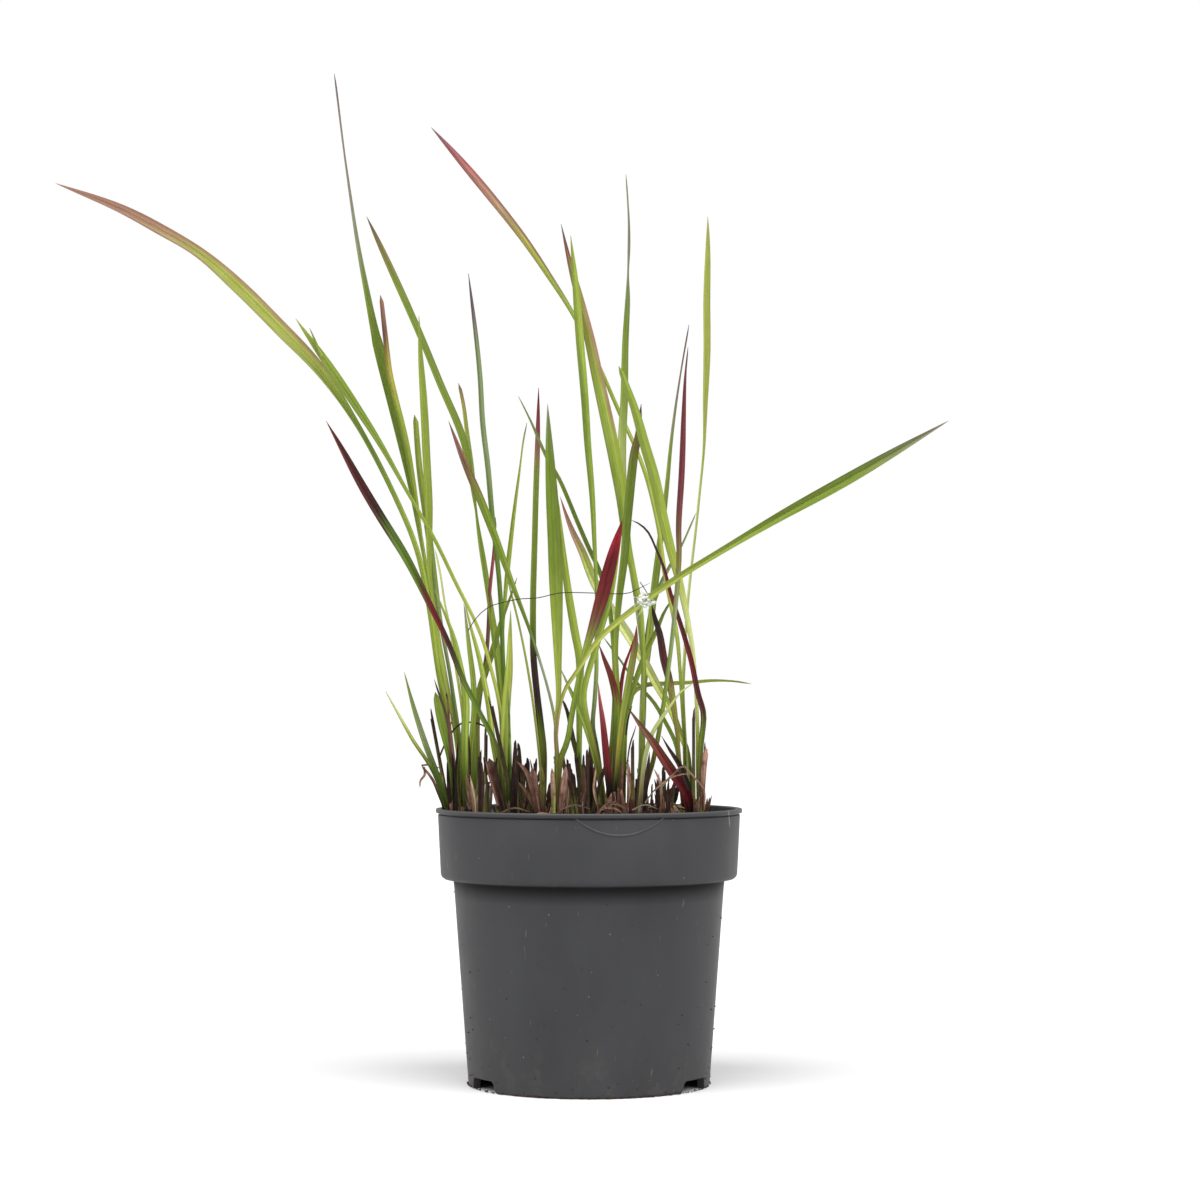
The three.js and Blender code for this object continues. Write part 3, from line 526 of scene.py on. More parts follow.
def notchCutter(angle):
    # A block that narrows upwards, with round edges
    wide, deep, high = pot["notch"]
    at = Vector((math.cos(angle), math.sin(angle), 0)) * pot["base"] * mm
    bpy.ops.mesh.primitive_cube_add(size=mm, location=at, rotation=(0, 0, angle + math.pi / 2))
    cutter = named("notchCutter")
    cutter.scale = (wide, deep, 2 * high)
    for vertex in cutter.data.vertices:
        if vertex.co.z > 0:
            vertex.co.x *= pot["notchTaper"]
    freeze(cutter)
    bevel = cutter.modifiers.new("round", "BEVEL")
    bevel.width, bevel.segments = pot["notchRound"] * mm, 3
    applyAll(cutter)
    return cutter


def drainCutter(angle):
    ring = pot["drainRing"]
    at = Vector((ring * math.cos(angle), ring * math.sin(angle), pot["drainLevel"])) * mm
    bpy.ops.mesh.primitive_cylinder_add(vertices=28, radius=pot["drainRadius"] * mm, depth=.01, location=at)
    return named("drainCutter")


def makePot():
    piece = turnWall()
    for i in range(pot["notches"]):
        cutWith(piece, notchCutter(math.radians(90 + 360 / pot["notches"] * i)))
    for i in range(pot["drains"]):
        cutWith(piece, drainCutter(wholeTurn * (i + .5) / pot["drains"]))
    shadeSmooth(piece, pot["smoothAngle"])
    dress(piece, skins["pot"], "pot", "pot")


def makeArc():
    # A thin ring laid on the collar, of which the lower arc is kept
    span, drop, top = pot["arcSpan"], pot["arcDrop"], pot["arcTop"]
    radius = span * span / 8 / drop + drop / 2
    clearSelection()
    bpy.ops.mesh.primitive_torus_add(
        location=(pot["arcCentre"] * mm, 0, (top - drop + radius) * mm), rotation=(math.pi / 2, 0, 0),
        major_radius=radius * mm, minor_radius=pot["arcRadius"] * mm, major_segments=200,
        minor_segments=8)
    ridge = named("arcRidge")
    freeze(ridge)
    editAll()
    bpy.ops.mesh.bisect(plane_co=(0, 0, top * mm), plane_no=upright, clear_outer=True, use_fill=True)
    leaveEdit()
    skirt, level = pot["collarFoot"], pot["collarLevel"]
    for vertex in ridge.data.vertices:
        share = (vertex.co.z / mm - level) / (pot["height"] - level)
        wall = (skirt + (pot["collarTop"] - skirt) * share) * mm
        vertex.co.y -= math.sqrt(wall ** 2 - vertex.co.x ** 2)
    shadeSmooth(ridge, pot["arcSmooth"])
    dress(ridge, skins["worn"], "pot")


makePot()
makeArc()
print("pot turned")


# The soil: a mound of dark crumbs. Under its edge it follows rings, each with its radius and height.

soil = {
    "edge": 144, "mound": 5, "radius": 80.9, "over": 83.8, "lumps": (1.6, .9), "lumpScale": (.11, .33),
    "under": [(80.4, 139), (79.9, 117), (72.9, 116), (64.6, 8.6)], "cells": 110,
    "crumbs": 1300, "crumbSizes": (.5, 1.9),
    "crumbTones": ["soot", "soot", "umber", "umber", "brown", "bark"],
    "bits": 150, "bitLengths": (5, 16), "bitWidths": (.25, .9), "bitTilts": (-.05, .3),
    "bitTones": ["brown", "bark", "tan", "umber", "rosewood", "straw"],
    "debris": 120, "debrisLengths": (3, 9), "debrisWidths": (.25, .6), "debrisTilts": (.1, 1.6),
    "debrisFeet": ["soot", "umber", "brown"], "debrisTips": ["brown", "bark", "rosewood", "tan"],
    "smoothAngle": 40, "crumbSmooth": 50,
}


def soilLevel(x, y):
    return soil["edge"] + soil["mound"] * (1 - (x * x + y * y) / soil["over"] ** 2)


def roughLevel(x, y):
    level = soilLevel(x, y)
    for size, scale in zip(soil["lumps"], soil["lumpScale"]):
        level += size * noise.noise((x * scale, y * scale, size))
    return level


def makeSoil():
    clearSelection()
    bpy.ops.mesh.primitive_grid_add(x_subdivisions=soil["cells"], y_subdivisions=soil["cells"], size=2)
    piece = named("pottingSoil")
    # The square grid is pressed into a disc
    for vertex in piece.data.vertices:
        u, v, _ = vertex.co
        x = u * math.sqrt(1 - v * v / 2) * soil["radius"]
        y = v * math.sqrt(1 - u * u / 2) * soil["radius"]
        vertex.co = Vector((x, y, roughLevel(x, y))) * mm
    editAll()
    bpy.ops.mesh.region_to_loop()
    radius, level = soil["radius"], soil["edge"]
    for nextRadius, nextLevel in soil["under"]:
        move = (0, 0, (nextLevel - level) * mm)
        bpy.ops.mesh.extrude_edges_move(TRANSFORM_OT_translate={"value": move})
        share = nextRadius / radius
        bpy.ops.transform.resize(value=(share, share, 1), center_override=(0, 0, 0))
        radius, level = nextRadius, nextLevel
    bpy.ops.transform.resize(value=(1, 1, 0), center_override=(0, 0, level * mm))
    bpy.ops.mesh.edge_face_add()
    bpy.ops.mesh.select_all(action="SELECT")
    bpy.ops.mesh.normals_make_consistent(inside=False)
    leaveEdit()
    shadeSmooth(piece, soil["smoothAngle"])
    dress(piece, skins["soil"], "soil", "soil")


# Small models, each kept as its corners and faces, and many copies of them gathered in one mesh

def asModel(piece):
    corners = np.array([v.co for v in piece.data.vertices])
    faces = [tuple(p.vertices) for p in piece.data.polygons]
    remove(piece)
    return corners, faces


def gather(name, copies):
    # copies holds (model, matrix, lower tone, upper tone); the tone runs up each model's own Z
    points, faces, shades, count = [], [], [], 0
    for (corners, sides), matrix, low, high in copies:
        matrix = np.array(matrix)
        points.append(corners @ matrix[:3, :3].T + matrix[:3, 3])
        faces += [tuple(i + count for i in side) for side in sides]
        share = smooth(corners[:, 2])[:, None]
        shades.append(palette[low] * (1 - share) + palette[high] * share)
        count += len(corners)
    mesh = bpy.data.meshes.new(name)
    mesh.from_pydata(np.vstack(points), [], faces)
    paint(mesh, np.vstack(shades))
    piece = bpy.data.objects.new(name, mesh)
    bpy.context.collection.objects.link(piece)
    return piece


def paint(mesh, shades):
    layer = mesh.color_attributes.new("bladeColour", "FLOAT_COLOR", "POINT")
    layer.data.foreach_set("color", np.hstack([shades, np.ones((len(shades), 1))]).ravel())


def thicken(piece, thickness, offset):
    wall = piece.modifiers.new("wall", "SOLIDIFY")
    wall.thickness, wall.offset = thickness, offset
    return wall


def lump(seed):
    # A crumb: a small ball pushed about
    clearSelection()
    bpy.ops.mesh.primitive_ico_sphere_add(subdivisions=1, radius=1)
    piece = named("lump")
    for vertex in piece.data.vertices:
        vertex.co *= 1 + .55 * noise.noise(vertex.co * 1.3 + Vector((seed, 0, 0)))
        vertex.co.z *= .75
    return asModel(piece)


def tube(seed, opening=0.0, ragged=.22, flare=.12, wall=.24, rings=3, foot=0.0, bow=.9):
    # A dead sheath of radius 1 and height 1: a rolled sheet, torn at the top
    draw = np.random.default_rng(seed)
    sides = 8
    clearSelection()
    bpy.ops.mesh.primitive_grid_add(x_subdivisions=sides, y_subdivisions=rings, size=2)
    piece = named("tube")
    torn = {}
    bow = draw.uniform(-bow, bow)
    for vertex in piece.data.vertices:
        across, up = vertex.co.x, (vertex.co.y + 1) / 2
        angle = across * math.pi * (1 - opening)
        column = round(across * sides)
        if opening == 0:
            column %= 2 * sides
        loss = torn.setdefault(column, draw.uniform(0, ragged))
        radius = 1 - .12 * up + flare * up ** 3 * (1 + 2 * loss) + foot * (1 - up) ** 2
        vertex.co = (radius * math.sin(angle) + bow * up * up, -radius * math.cos(angle), up * (1 - loss))
    if opening == 0:
        editAll()
        bpy.ops.mesh.remove_doubles(threshold=.001)
        leaveEdit()
    thicken(piece, wall, -1)
    applyAll(piece)
    return asModel(piece)


def spike(seed):
    # A solid stalk, cut at a slant
    draw = np.random.default_rng(seed)
    top = .7
    clearSelection()
    bpy.ops.mesh.primitive_cone_add(vertices=7, radius1=1, radius2=top, depth=1, location=(0, 0, .5))
    piece = named("spike")
    freeze(piece)
    slant = draw.uniform(.1, .25)
    for vertex in piece.data.vertices:
        if vertex.co.z > .5:
            vertex.co.z -= slant * (1 + vertex.co.x / top) / 2
    return asModel(piece)


def shred(seed, bend=.25):
    # A torn strip of height 1 and half width 1, bending over
    draw = np.random.default_rng(seed)
    clearSelection()
    bpy.ops.mesh.primitive_grid_add(x_subdivisions=2, y_subdivisions=5, size=2)
    piece = named("shred")
    swing, curl = draw.uniform(-bend, bend), draw.uniform(.2, .7)
    for vertex in piece.data.vertices:
        across, up = vertex.co.x, (vertex.co.y + 1) / 2
        half = (1 - .75 * up ** 2) * (1 + .2 * math.sin(9 * up + seed))
        vertex.co = (across * half + swing * 6 * up ** 2, -curl * across ** 2 + bend * 4 * up ** 3, up)
    thicken(piece, .35, -1)
    applyAll(piece)
    return asModel(piece)


models = {
    "lump": [lump(s) for s in range(4)],
    "hollow": [tube(s) for s in range(3)],
    "split": [tube(s, opening=.25, ragged=.4, flare=.3) for s in range(3, 6)],
    "wrap": [tube(s, opening=.06, ragged=.5, flare=.16, wall=.14) for s in range(6, 9)],
    "cut": [tube(s, opening=.1, ragged=.025, flare=.1, rings=6, foot=.7, bow=.3) for s in range(9, 12)],
    "spike": [spike(s) for s in range(3)],
    "shred": [shred(s) for s in range(3)],
    "curl": [shred(s, bend=1.3) for s in range(3, 7)],
}


def oneOf(kind):
    return models[kind][dice.integers(len(models[kind]))]


def pose(at, axis, turn, wide, deep, high):
    stand = Vector(axis).to_track_quat("Z", "Y").to_matrix().to_4x4()
    size = Matrix.Diagonal((wide * mm, deep * mm, high * mm, 1))
    return Matrix.Translation(Vector(at) * mm) @ stand @ Matrix.Rotation(turn, 4, "Z") @ size


def onSoil(margin=2):
    out = (soil["radius"] - margin) * math.sqrt(dice.uniform())
    angle = dice.uniform(0, wholeTurn)
    return out * math.cos(angle), out * math.sin(angle)


def heading(tilts):
    angle = dice.uniform(0, wholeTurn)
    return math.cos(angle), math.sin(angle), dice.uniform(*tilts)


def makeCrumbs():
    copies = []
    low, high = soil["crumbSizes"]
    for _ in range(soil["crumbs"]):
        x, y = onSoil()
        size = low + (high - low) * dice.uniform() ** 3
        tone = dice.choice(soil["crumbTones"])
        at = (x, y, roughLevel(x, y) + size * .3)
        model, turn = oneOf("lump"), dice.uniform(0, looseTurn)
        copies.append((model, pose(at, upright, turn, size, size * .8, size), tone, tone))
    for _ in range(soil["bits"]):
        length = dice.uniform(*soil["bitLengths"])
        x, y = onSoil(length + 1)
        axis = heading(soil["bitTilts"])
        at = (x, y, roughLevel(x, y) + .6)
        wide = dice.uniform(*soil["bitWidths"])
        foot, tip = dice.choice(soil["bitTones"], 2)
        model, turn = oneOf("shred"), dice.uniform(0, looseTurn)
        copies.append((model, pose(at, axis, turn, wide, wide, length), foot, tip))
    # Torn dry bits that stand and lean at the foot of the shoots
    for _ in range(soil["debris"]):
        x, y = onSoil(8)
        axis = heading(soil["debrisTilts"])
        wide = dice.uniform(*soil["debrisWidths"])
        foot, tip = dice.choice(soil["debrisFeet"]), dice.choice(soil["debrisTips"])
        turn, length = dice.uniform(0, looseTurn), dice.uniform(*soil["debrisLengths"])
        matrix = pose((x, y, soilLevel(x, y)), axis, turn, wide, wide, length)
        copies.append((oneOf("curl"), matrix, foot, tip))
    piece = gather("soilCrumbs", copies)
    shadeSmooth(piece, soil["crumbSmooth"])
    dress(piece, skins["dry"], "soil")


makeSoil()
makeCrumbs()
print("soil filled")


# Blades laid along their routes. A route is read in the front elevation, as (across, up), at the
# plane of the pot's axis. Its depth then moves each point along its line of sight.

blades = {
    "step": 4, "columns": 12, "finePieces": 12, "thickness": .34, "thinnest": .3, "edgeLoss": .6,
    "midribPower": 1.25, "ribWidth": .14, "ribHeight": .3, "ribShare": .05, "ripple": .03,
    "rippleLength": 17, "waveLength": 9, "sheathShare": .35, "roll": .93, "flattest": .12,
    "leanPower": 1.3, "leafStart": 1, "tip": 1.05, "tipLength": 9, "edgeLead": .04, "leadLess": .3,
    "streaksFrom": .1, "edgeDepth": .8, "edgeFrom": .35, "edgeOver": .4, "edgeFade": .08,
    # Painted light and shade: one half of each blade lighter, darker rims (more so low down), and a gain by
    # height
    "halves": .17, "halfTurn": 4, "rims": .16, "lowRims": .3, "rimFrom": .6, "rimOver": .4,
    "lowSpan": (170, 290), "smoothAngle": 55,
    "heights": (150, 172, 190, 240, 290, 380), "gains": (.62, .93, 1.2, 1.2, 1.06, 1),
}


def behind(across, up, depth):
    eyeAcross, eyeDepth, eyeHeight = studio["eye"]
    scale = (depth - eyeDepth) / -eyeDepth
    height = eyeHeight + (up - eyeHeight) * scale
    return np.array([eyeAcross + (across - eyeAcross) * scale, depth, height])


def smoothLine(points, step):
    # A centripetal Catmull-Rom curve through the points, cut into even steps
    points = np.array(points, float)
    ends = 2 * points[0] - points[1], 2 * points[-1] - points[-2]
    chain = np.vstack([ends[0], points, ends[1]])
    gaps = np.sqrt(np.linalg.norm(np.diff(chain, axis=0), axis=1))
    t = np.linspace(0, 1, blades["finePieces"], endpoint=False)[:, None]
    run = []
    for i in range(len(points) - 1):
        p0, p1, p2, p3 = chain[i:i + 4]
        d0, d1, d2 = gaps[i:i + 3]
        leave = d1 * ((p1 - p0) / d0 - (p2 - p0) / (d0 + d1) + (p2 - p1) / d1)
        arrive = d1 * ((p2 - p1) / d1 - (p3 - p1) / (d1 + d2) + (p3 - p2) / d2)
        run.append((2 * t ** 3 - 3 * t ** 2 + 1) * p1 + (t ** 3 - 2 * t ** 2 + t) * leave
                   + (3 * t ** 2 - 2 * t ** 3) * p2 + (t ** 3 - t ** 2) * arrive)
    run = np.vstack(run + [points[-1:]])
    reach = np.concatenate([[0], np.cumsum(np.linalg.norm(np.diff(run, axis=0), axis=1))])
    count = max(8, round(reach[-1] / step))
    even = np.linspace(0, reach[-1], count + 1)
    line = np.stack([np.interp(even, reach, run[:, k]) for k in range(3)], axis=1)
    along = np.gradient(line, axis=0)
    return line, along / np.linalg.norm(along, axis=1)[:, None], reach[-1]


def toneAlong(stops, share):
    places = [place for place, _ in stops]
    shades = np.array([palette[tone] for _, tone in stops])
    return np.stack([np.interp(share, places, shades[:, k]) for k in range(3)], axis=-1)


def widthAlong(form, share, length):
    width, root, peak, blunt = form["width"], form["root"], form["peak"], form["blunt"]
    past = np.clip((share - peak) / (1 - peak), 0, 1)
    rising = root + (width - root) * smooth((share - form["slim"]) / (peak - form["slim"]))
    falling = width * (blunt + (1 - blunt) * (1 - past ** form["taper"]))
    wide = np.where(share < peak, rising, falling)
    ripple = np.sin(share * length / blades["rippleLength"] + form["seed"])
    wide = wide * (1 + blades["ripple"] * ripple)
    if "waist" in form:
        middle, depth, span = form["waist"]
        wide = wide * (1 - depth * np.exp(-((share - middle) / span) ** 2))
    # A blunt end is rounded, and a fine one stays a millimetre wide until just before its point
    toGo = (1 - share) * length
    rounded = np.sqrt(1 - (1 - np.clip(toGo / (.5 * width * blunt + .01), 0, 1)) ** 2)
    least = min(blades["tip"], width) * np.sqrt(np.clip(toGo / blades["tipLength"], 0, 1))
    return np.maximum(wide, least) * rounded + .1


def axesAlong(form, along, row, share):
    # The directions across the blade and out of its face, turned about its route
    side = np.cross((0, 1, 0), along)
    side /= np.linalg.norm(side, axis=1)[:, None]
    turn = np.radians(form["turn"]) * smooth(2 * share) + np.radians(form["twist"]) * share
    cosine, sine = np.cos(turn)[:, None], np.sin(turn)[:, None]
    return [axis[row] * cosine + np.cross(along[row], axis[row]) * sine
            for axis in (side, np.cross(side, along))]


def sectionOf(form, place, wide, share, length):
    # How far each corner stands across the route and out of the face: a rolled sheath at the foot,
    # then a blade folded at its midrib, with a wave along its edges
    sheath = form["roll"] * (1 - smooth(share / blades["sheathShare"]))
    limit = np.maximum(math.pi * blades["roll"] * sheath, blades["flattest"])
    radius = wide / 2 / np.sin(np.minimum(limit, math.pi / 2))
    angle = place * limit
    out = radius * (1 - np.cos(angle)) - wide / 2 * sheath
    out += wide * form["fold"] * np.abs(place) * (1 - sheath)
    rib = np.exp(-(place / blades["ribWidth"]) ** 2) * (1 - sheath)
    out -= rib * np.minimum(blades["ribHeight"], wide * blades["ribShare"])
    wave = form["wave"] * np.sin(share * length / blades["waveLength"] + 2 * form["seed"])
    out += wave * np.abs(place) * (1 - sheath) * np.sin(math.pi * share)
    return radius * np.sin(angle), out


def shadesAlong(form, stops, share, place, column, heights):
    # The tip colours run down the edges first, in streaks
    draw = np.random.default_rng(form["seed"])
    streak = draw.normal(0, form["streak"], blades["columns"] + 1)[column]
    lead = blades["edgeLead"] * (place ** 2 - blades["leadLess"])
    shades = toneAlong(stops, np.clip(share + (streak + lead) * (share > blades["streaksFrom"]), 0, 1))
    if "edge" in form:
        sign, tone, start, end = form["edge"]
        depth, fade = blades["edgeDepth"], blades["edgeFade"]
        near = smooth((sign * place - blades["edgeFrom"]) / blades["edgeOver"])
        near = near * smooth((share - start) / fade)
        near = (near * (1 - smooth((share - end) / fade)))[:, None]
        shades = shades * (1 - depth * near) + palette[tone] * depth * near
    # One half of the blade catches more light, and its rims are darker
    half = 1 + blades["halves"] * (-1) ** form["seed"] * np.tanh(blades["halfTurn"] * place)
    # Painted light and shade by height: lighter at the middle heights, darker at the feet; the rims are
    # painted darker, more so low down
    gain = np.interp(heights, blades["heights"], blades["gains"])
    lowest, highest = blades["lowSpan"]
    darker = blades["rims"] + blades["lowRims"] * (1 - smooth((heights - lowest) / (highest - lowest)))
    rims = 1 - darker * smooth((np.abs(place) - blades["rimFrom"]) / blades["rimOver"])
    return shades * (half * rims * gain)[:, None]


def bladeAlong(name, points, form, stops):
    # Lays a grid along a smooth curve through the points and gives it a thin wall
    line, along, length = smoothLine(points, blades["step"])
    rows, columns = len(line) - 1, blades["columns"]
    clearSelection()
    bpy.ops.mesh.primitive_grid_add(x_subdivisions=columns, y_subdivisions=rows, size=2)
    piece = named(name)
    mesh = piece.data
    flat = np.empty(3 * len(mesh.vertices))
    mesh.vertices.foreach_get("co", flat)
    flat = flat.reshape(-1, 3)
    across, share = flat[:, 0], (flat[:, 1] + 1) / 2
    row = np.rint(share * rows).astype(int)
    column = np.rint((across + 1) / 2 * columns).astype(int)

    # Closer columns at the midrib
    place = np.sign(across) * np.abs(across) ** blades["midribPower"]
    sides, faces = axesAlong(form, along, row, share)
    sideways, out = sectionOf(form, place, widthAlong(form, share, length), share, length)
    spots = line[row] + sides * sideways[:, None] + faces * out[:, None]
    mesh.vertices.foreach_set("co", (spots * mm).ravel())
    paint(mesh, shadesAlong(form, stops, share, place, column, spots[:, 2]))
    loops = np.empty(len(mesh.loops), int)
    mesh.loops.foreach_get("vertex_index", loops)
    places = np.stack([(across[loops] + 1) / 2 + form["seed"], share[loops] * length / 100], axis=1)
    mesh.uv_layers[0].data.foreach_set("uv", places.ravel())

    # The wall grows thinner towards the edges
    thin = piece.vertex_groups.new(name="thin")
    for c in range(columns + 1):
        weight = 1 - blades["edgeLoss"] * abs(c / columns * 2 - 1) ** 1.5
        thin.add([int(i) for i in np.nonzero(column == c)[0]], weight, "REPLACE")
    wall = thicken(piece, blades["thickness"] * mm, 0)
    wall.vertex_group, wall.thickness_vertex_group = "thin", blades["thinnest"]
    applyAll(piece)
    piece.vertex_groups.clear()
    return piece


# Each shoot stands in the soil at a place across and a depth. Its leaves follow, each with its width,
# turn, depth at the tip, tones with their places along it, and route.

usualForm = {
    "root": 2.6, "slim": .1, "peak": .6, "taper": 2.1, "blunt": 0, "wave": .12, "fold": .16, "roll": 1,
    "turn": 0, "twist": 0, "streak": .02,
}
shoots = []


def shoot(node, across, depth):
    foot = behind(across, soil["edge"], depth)
    foot[2] = soilLevel(foot[0], foot[1])
    shoots.append({"node": node, "foot": foot, "leaves": []})


def stopsIn(text):
    pairs = [stop.split() for stop in text.split(",")]
    return [(float(place), tone) for tone, place in pairs]


def leaf(width, turn, reach, toneText, *route, **form):
    leaves, foot = shoots[-1]["leaves"], shoots[-1]["foot"]
    form = {**usualForm, "width": width, "turn": turn, "seed": len(shoots) * 3 + len(leaves), **form}
    points = [foot + np.array([0, 0, blades["leafStart"]])]
    for i, (across, up) in enumerate(route):
        share = ((i + 1) / len(route)) ** blades["leanPower"]
        points.append(behind(across, up, foot[1] + (reach - foot[1]) * share))
    leaves.append((points, form, stopsIn(toneText)))


def torn(width, depth, toneText, *route):
    # A strand torn off the last leaf, from where it hangs on to its tip
    form = {**usualForm, "width": width, "root": width, "slim": 0, "peak": .3, "taper": 1.5, "wave": .1,
            "fold": .1, "roll": 0, "seed": len(shoots) * 3}
    points = [behind(across, up, depth) for across, up in route]
    shoots[-1]["leaves"].append((points, form, stopsIn(toneText)))


shoot("left_short", -76, -10)
leaf(3.3, 25, -22, "deep .3, greyGreen .6, leaf 1",
     (-84.5, 171.5), (-90.1, 186), (-97.6, 209), (-102.6, 228.5), peak=.45)
leaf(2.3, 40, -18, "deep 0, leaf .3, lime .6, pale 1",
     (-86.5, 173), (-98, 190.5), (-102.9, 199.3), (-112.9, 217.8), peak=.5)
shoot("left_arch", -72, 2)
leaf(8.2, 10, -60, "olive .04, bright .08, bright .35, fresh .42, deep .5, fresh .57, lime .64, "
     "lime .8, tan .86, rosewood .93",
     (-74.5, 168), (-79, 205.5), (-83.5, 227.5), (-89.5, 268.5), (-96, 297.5), (-109, 328.5),
     (-128.5, 365.5), (-149.6, 396.4), (-171.8, 419.6), (-194.3, 442.1), (-216.3, 461.1),
     (-238.8, 474.6), (-260.8, 486.1), (-296.3, 500.1), peak=.67, slim=.5, taper=3.2, root=2.7,
     edge=(1, "rosewood", .56, .99), waist=(.815, .24, .05))
leaf(5, 35, 10, "olive 0, lime .12, fresh .2, lime .3, bright .44, bright .83, fresh 1",
     (-73.5, 191), (-79.5, 224), (-85, 257.5), (-88.5, 283), (-89.5, 324), (-91, 353), (-92.5, 382.5),
     (-94, 407.5), (-94.5, 426.5), peak=.65, root=1.8, slim=.42, taper=3.5)
shoot("left_tall", -70, 14)
leaf(6.9, 35, 34, "olive 0, leaf .07, bright .2, fresh .3, leaf .43, leaf .7, sage .78, dusk .84, "
     "dusk .93, plum 1",
     (-73, 185.5), (-79.5, 224), (-84.5, 251.5), (-90, 283), (-98, 326), (-105, 357.5), (-116, 402),
     (-123, 435.5), (-129, 468.5), (-135.5, 513), (-141.5, 561), peak=.64, root=2.1, taper=.45, slim=.3)
leaf(4.4, 45, 20, "olive 0, fresh .1, bright .3, bright .76, gold .86, bark .92, rosewood 1",
     (-73.5, 191), (-83, 235.5), (-88.5, 274), (-93, 302), (-101.5, 353), (-108.5, 382.5),
     (-111.2, 395), (-113.9, 418), (-115.9, 438), peak=.72, blunt=.6, root=1.5, slim=.5)
shoot("left_blunt", -68, 27)
leaf(5, 45, 44, "olive 0, deep .12, greyGreen .45, leaf .69, fresh .85, bright 1",
     (-71.5, 185.5), (-77, 224), (-83, 257.5), (-86, 277.5), (-90, 308), (-94.5, 339.5), (-97, 371.5),
     peak=.75, blunt=.7, root=2.4, slim=.35)
leaf(1.5, 20, 64, "leaf 0, lime .4, pale 1",
     (-70, 202), (-74.2, 232.4), (-77.2, 252.4), (-80.2, 266.9), (-82.7, 283.4), (-85.7, 297.4),
     peak=.4)
shoot("left_cut", -74, -22)
leaf(5.2, 20, -14, "deep .28, leaf .94, deep 1",
     (-76, 171.5), (-78.5, 187), (-82, 201), (-85.5, 217.5), peak=.75, blunt=.5, root=2.4)
leaf(1.8, 0, -18, "umber 0, bark .4, umber 1",
     (-75.5, 179.5), (-79, 203.5), (-83, 215.5), (-86, 224.5), peak=.3)
shoot("left_sheath", -64, -14)
leaf(4.2, 5, -30, "clay 0, olive .06, leaf .14, fresh .3, bright 1",
     (-68.5, 164.5), (-69, 191), (-68.5, 213), (-70.9, 228.4), (-74.9, 246.8), (-80.9, 262.8),
     (-85.9, 274.3), peak=.3)
leaf(3.2, 20, -6, "olive 0, bright .28, fresh .83, dusk 1",
     (-66, 179.5), (-64, 207.5), (-64.5, 224), (-66.5, 241), (-68.5, 258), (-69.5, 267), peak=.6)
shoot("left_leaning", -62, 3)
leaf(4.1, 30, 8, "olive 0, leaf .06, fresh .22, leaf .45, leaf .91, umber 1",
     (-63.5, 168.5), (-64, 190.5), (-64, 204.5), (-60.5, 220.5), (-54.5, 238.5), (-48, 259.5),
     (-43.5, 271), (-40, 281), peak=.5)
shoot("left_crimson", -60, 16)
leaf(3, 45, 20, "fresh .14, olive .24, moss .42, bark .56, bark .7, rose .8, rose .9, maroon 1",
     (-62, 179.5), (-62, 204.5), (-60, 221.5), (-57.4, 238), (-56, 258), (-55.5, 272.5), (-53, 297.5),
     (-52.5, 307.5), (-52, 314.5), peak=.4, blunt=.5)
shoot("arching_maroon", -48, -40)
leaf(4.9, 15, -85, "moss 0, olive .1, deep .2, deep .33, moss .37, umber .41, maroon .45, wine .49, "
     "wine .53, moss .57, deep .61, deep .7, umber .75, maroon .8, maroon .9, sienna 1",
     (-49.5, 168.5), (-52, 188), (-61.5, 207.5), (-70.5, 225.5), (-79, 246.5), (-88.5, 266),
     (-101.5, 291.5), (-116.5, 315.7), (-126.5, 332.5), (-139, 355.5), (-146, 368), peak=.72, root=2.6,
     slim=.42, taper=2.6)
shoot("frayed", -46, -24)
leaf(4.5, 10, -35, "olive 0, lime .07, lime .33, bright .49, fresh .65, leaf .82, bright 1",
     (-48, 179.5), (-49.5, 208.5), (-55, 232.5), (-61, 251.5), (-74, 278), (-86.5, 303.5),
     (-102, 330.5), (-116.5, 356), (-129, 375.5), (-144.5, 398.5), (-163, 425), peak=.86, slim=.6,
     root=1.8)
leaf(4.8, 10, -30, "olive 0, bright .25, lime .86, fresh 1",
     (-47, 190.5), (-46, 213), (-44.5, 229.5), (-44, 246.5), (-43.5, 263), peak=.5)
leaf(3.2, 20, -14, "olive 0, lime .19, bright .83, fresh 1",
     (-49.5, 168.5), (-54, 193.5), (-56, 210.5), (-58.5, 224), (-61.5, 238), (-66, 254.5), (-69, 267),
     peak=.5)
torn(1.5, -36, "bright 0, leaf .6, greyGreen 1",
     (-148.3, 404.2), (-151.1, 409.8), (-153.1, 414.8), (-155.3, 419.8))
shoot("purple_tipped", -45, -6)
leaf(5.3, 45, 30, "olive 0, leaf .08, leaf .42, leaf .65, leaf .87, olive .92, bark 1",
     (-48, 190.5), (-50, 218.5), (-53.5, 246.5), (-58.5, 285.5), (-63.5, 321.5), (-70.5, 357.3),
     (-84.1, 390.7), (-98, 424), (-113, 457.5), (-123.5, 481.5), peak=.62, root=1.3, taper=8, slim=.46)
leaf(4.1, 50, -20, "olive 0, deep .1, deep .55, greyGreen .66, greyGreen .87, plum .93",
     (-45.5, 191), (-48, 235.5), (-49.5, 268.5), (-54.6, 318.5), (-56.7, 341), (-59.5, 366), (-61, 391),
     (-63, 413), (-65.5, 435.5), (-67, 450), peak=.55, taper=6, root=2.2, slim=.2)
shoot("pale_pair", -43, 16)
leaf(3.2, 40, 45, "olive 0, bright .13, bright .76, lime .93, dusk 1",
     (-45, 190.5), (-47, 218.5), (-48.1, 246.5), (-46.1, 279.5), (-43.1, 308), (-38.5, 342),
     (-36.5, 357.5), (-34.5, 367), peak=.64, taper=1.2, root=1.4, slim=.4)
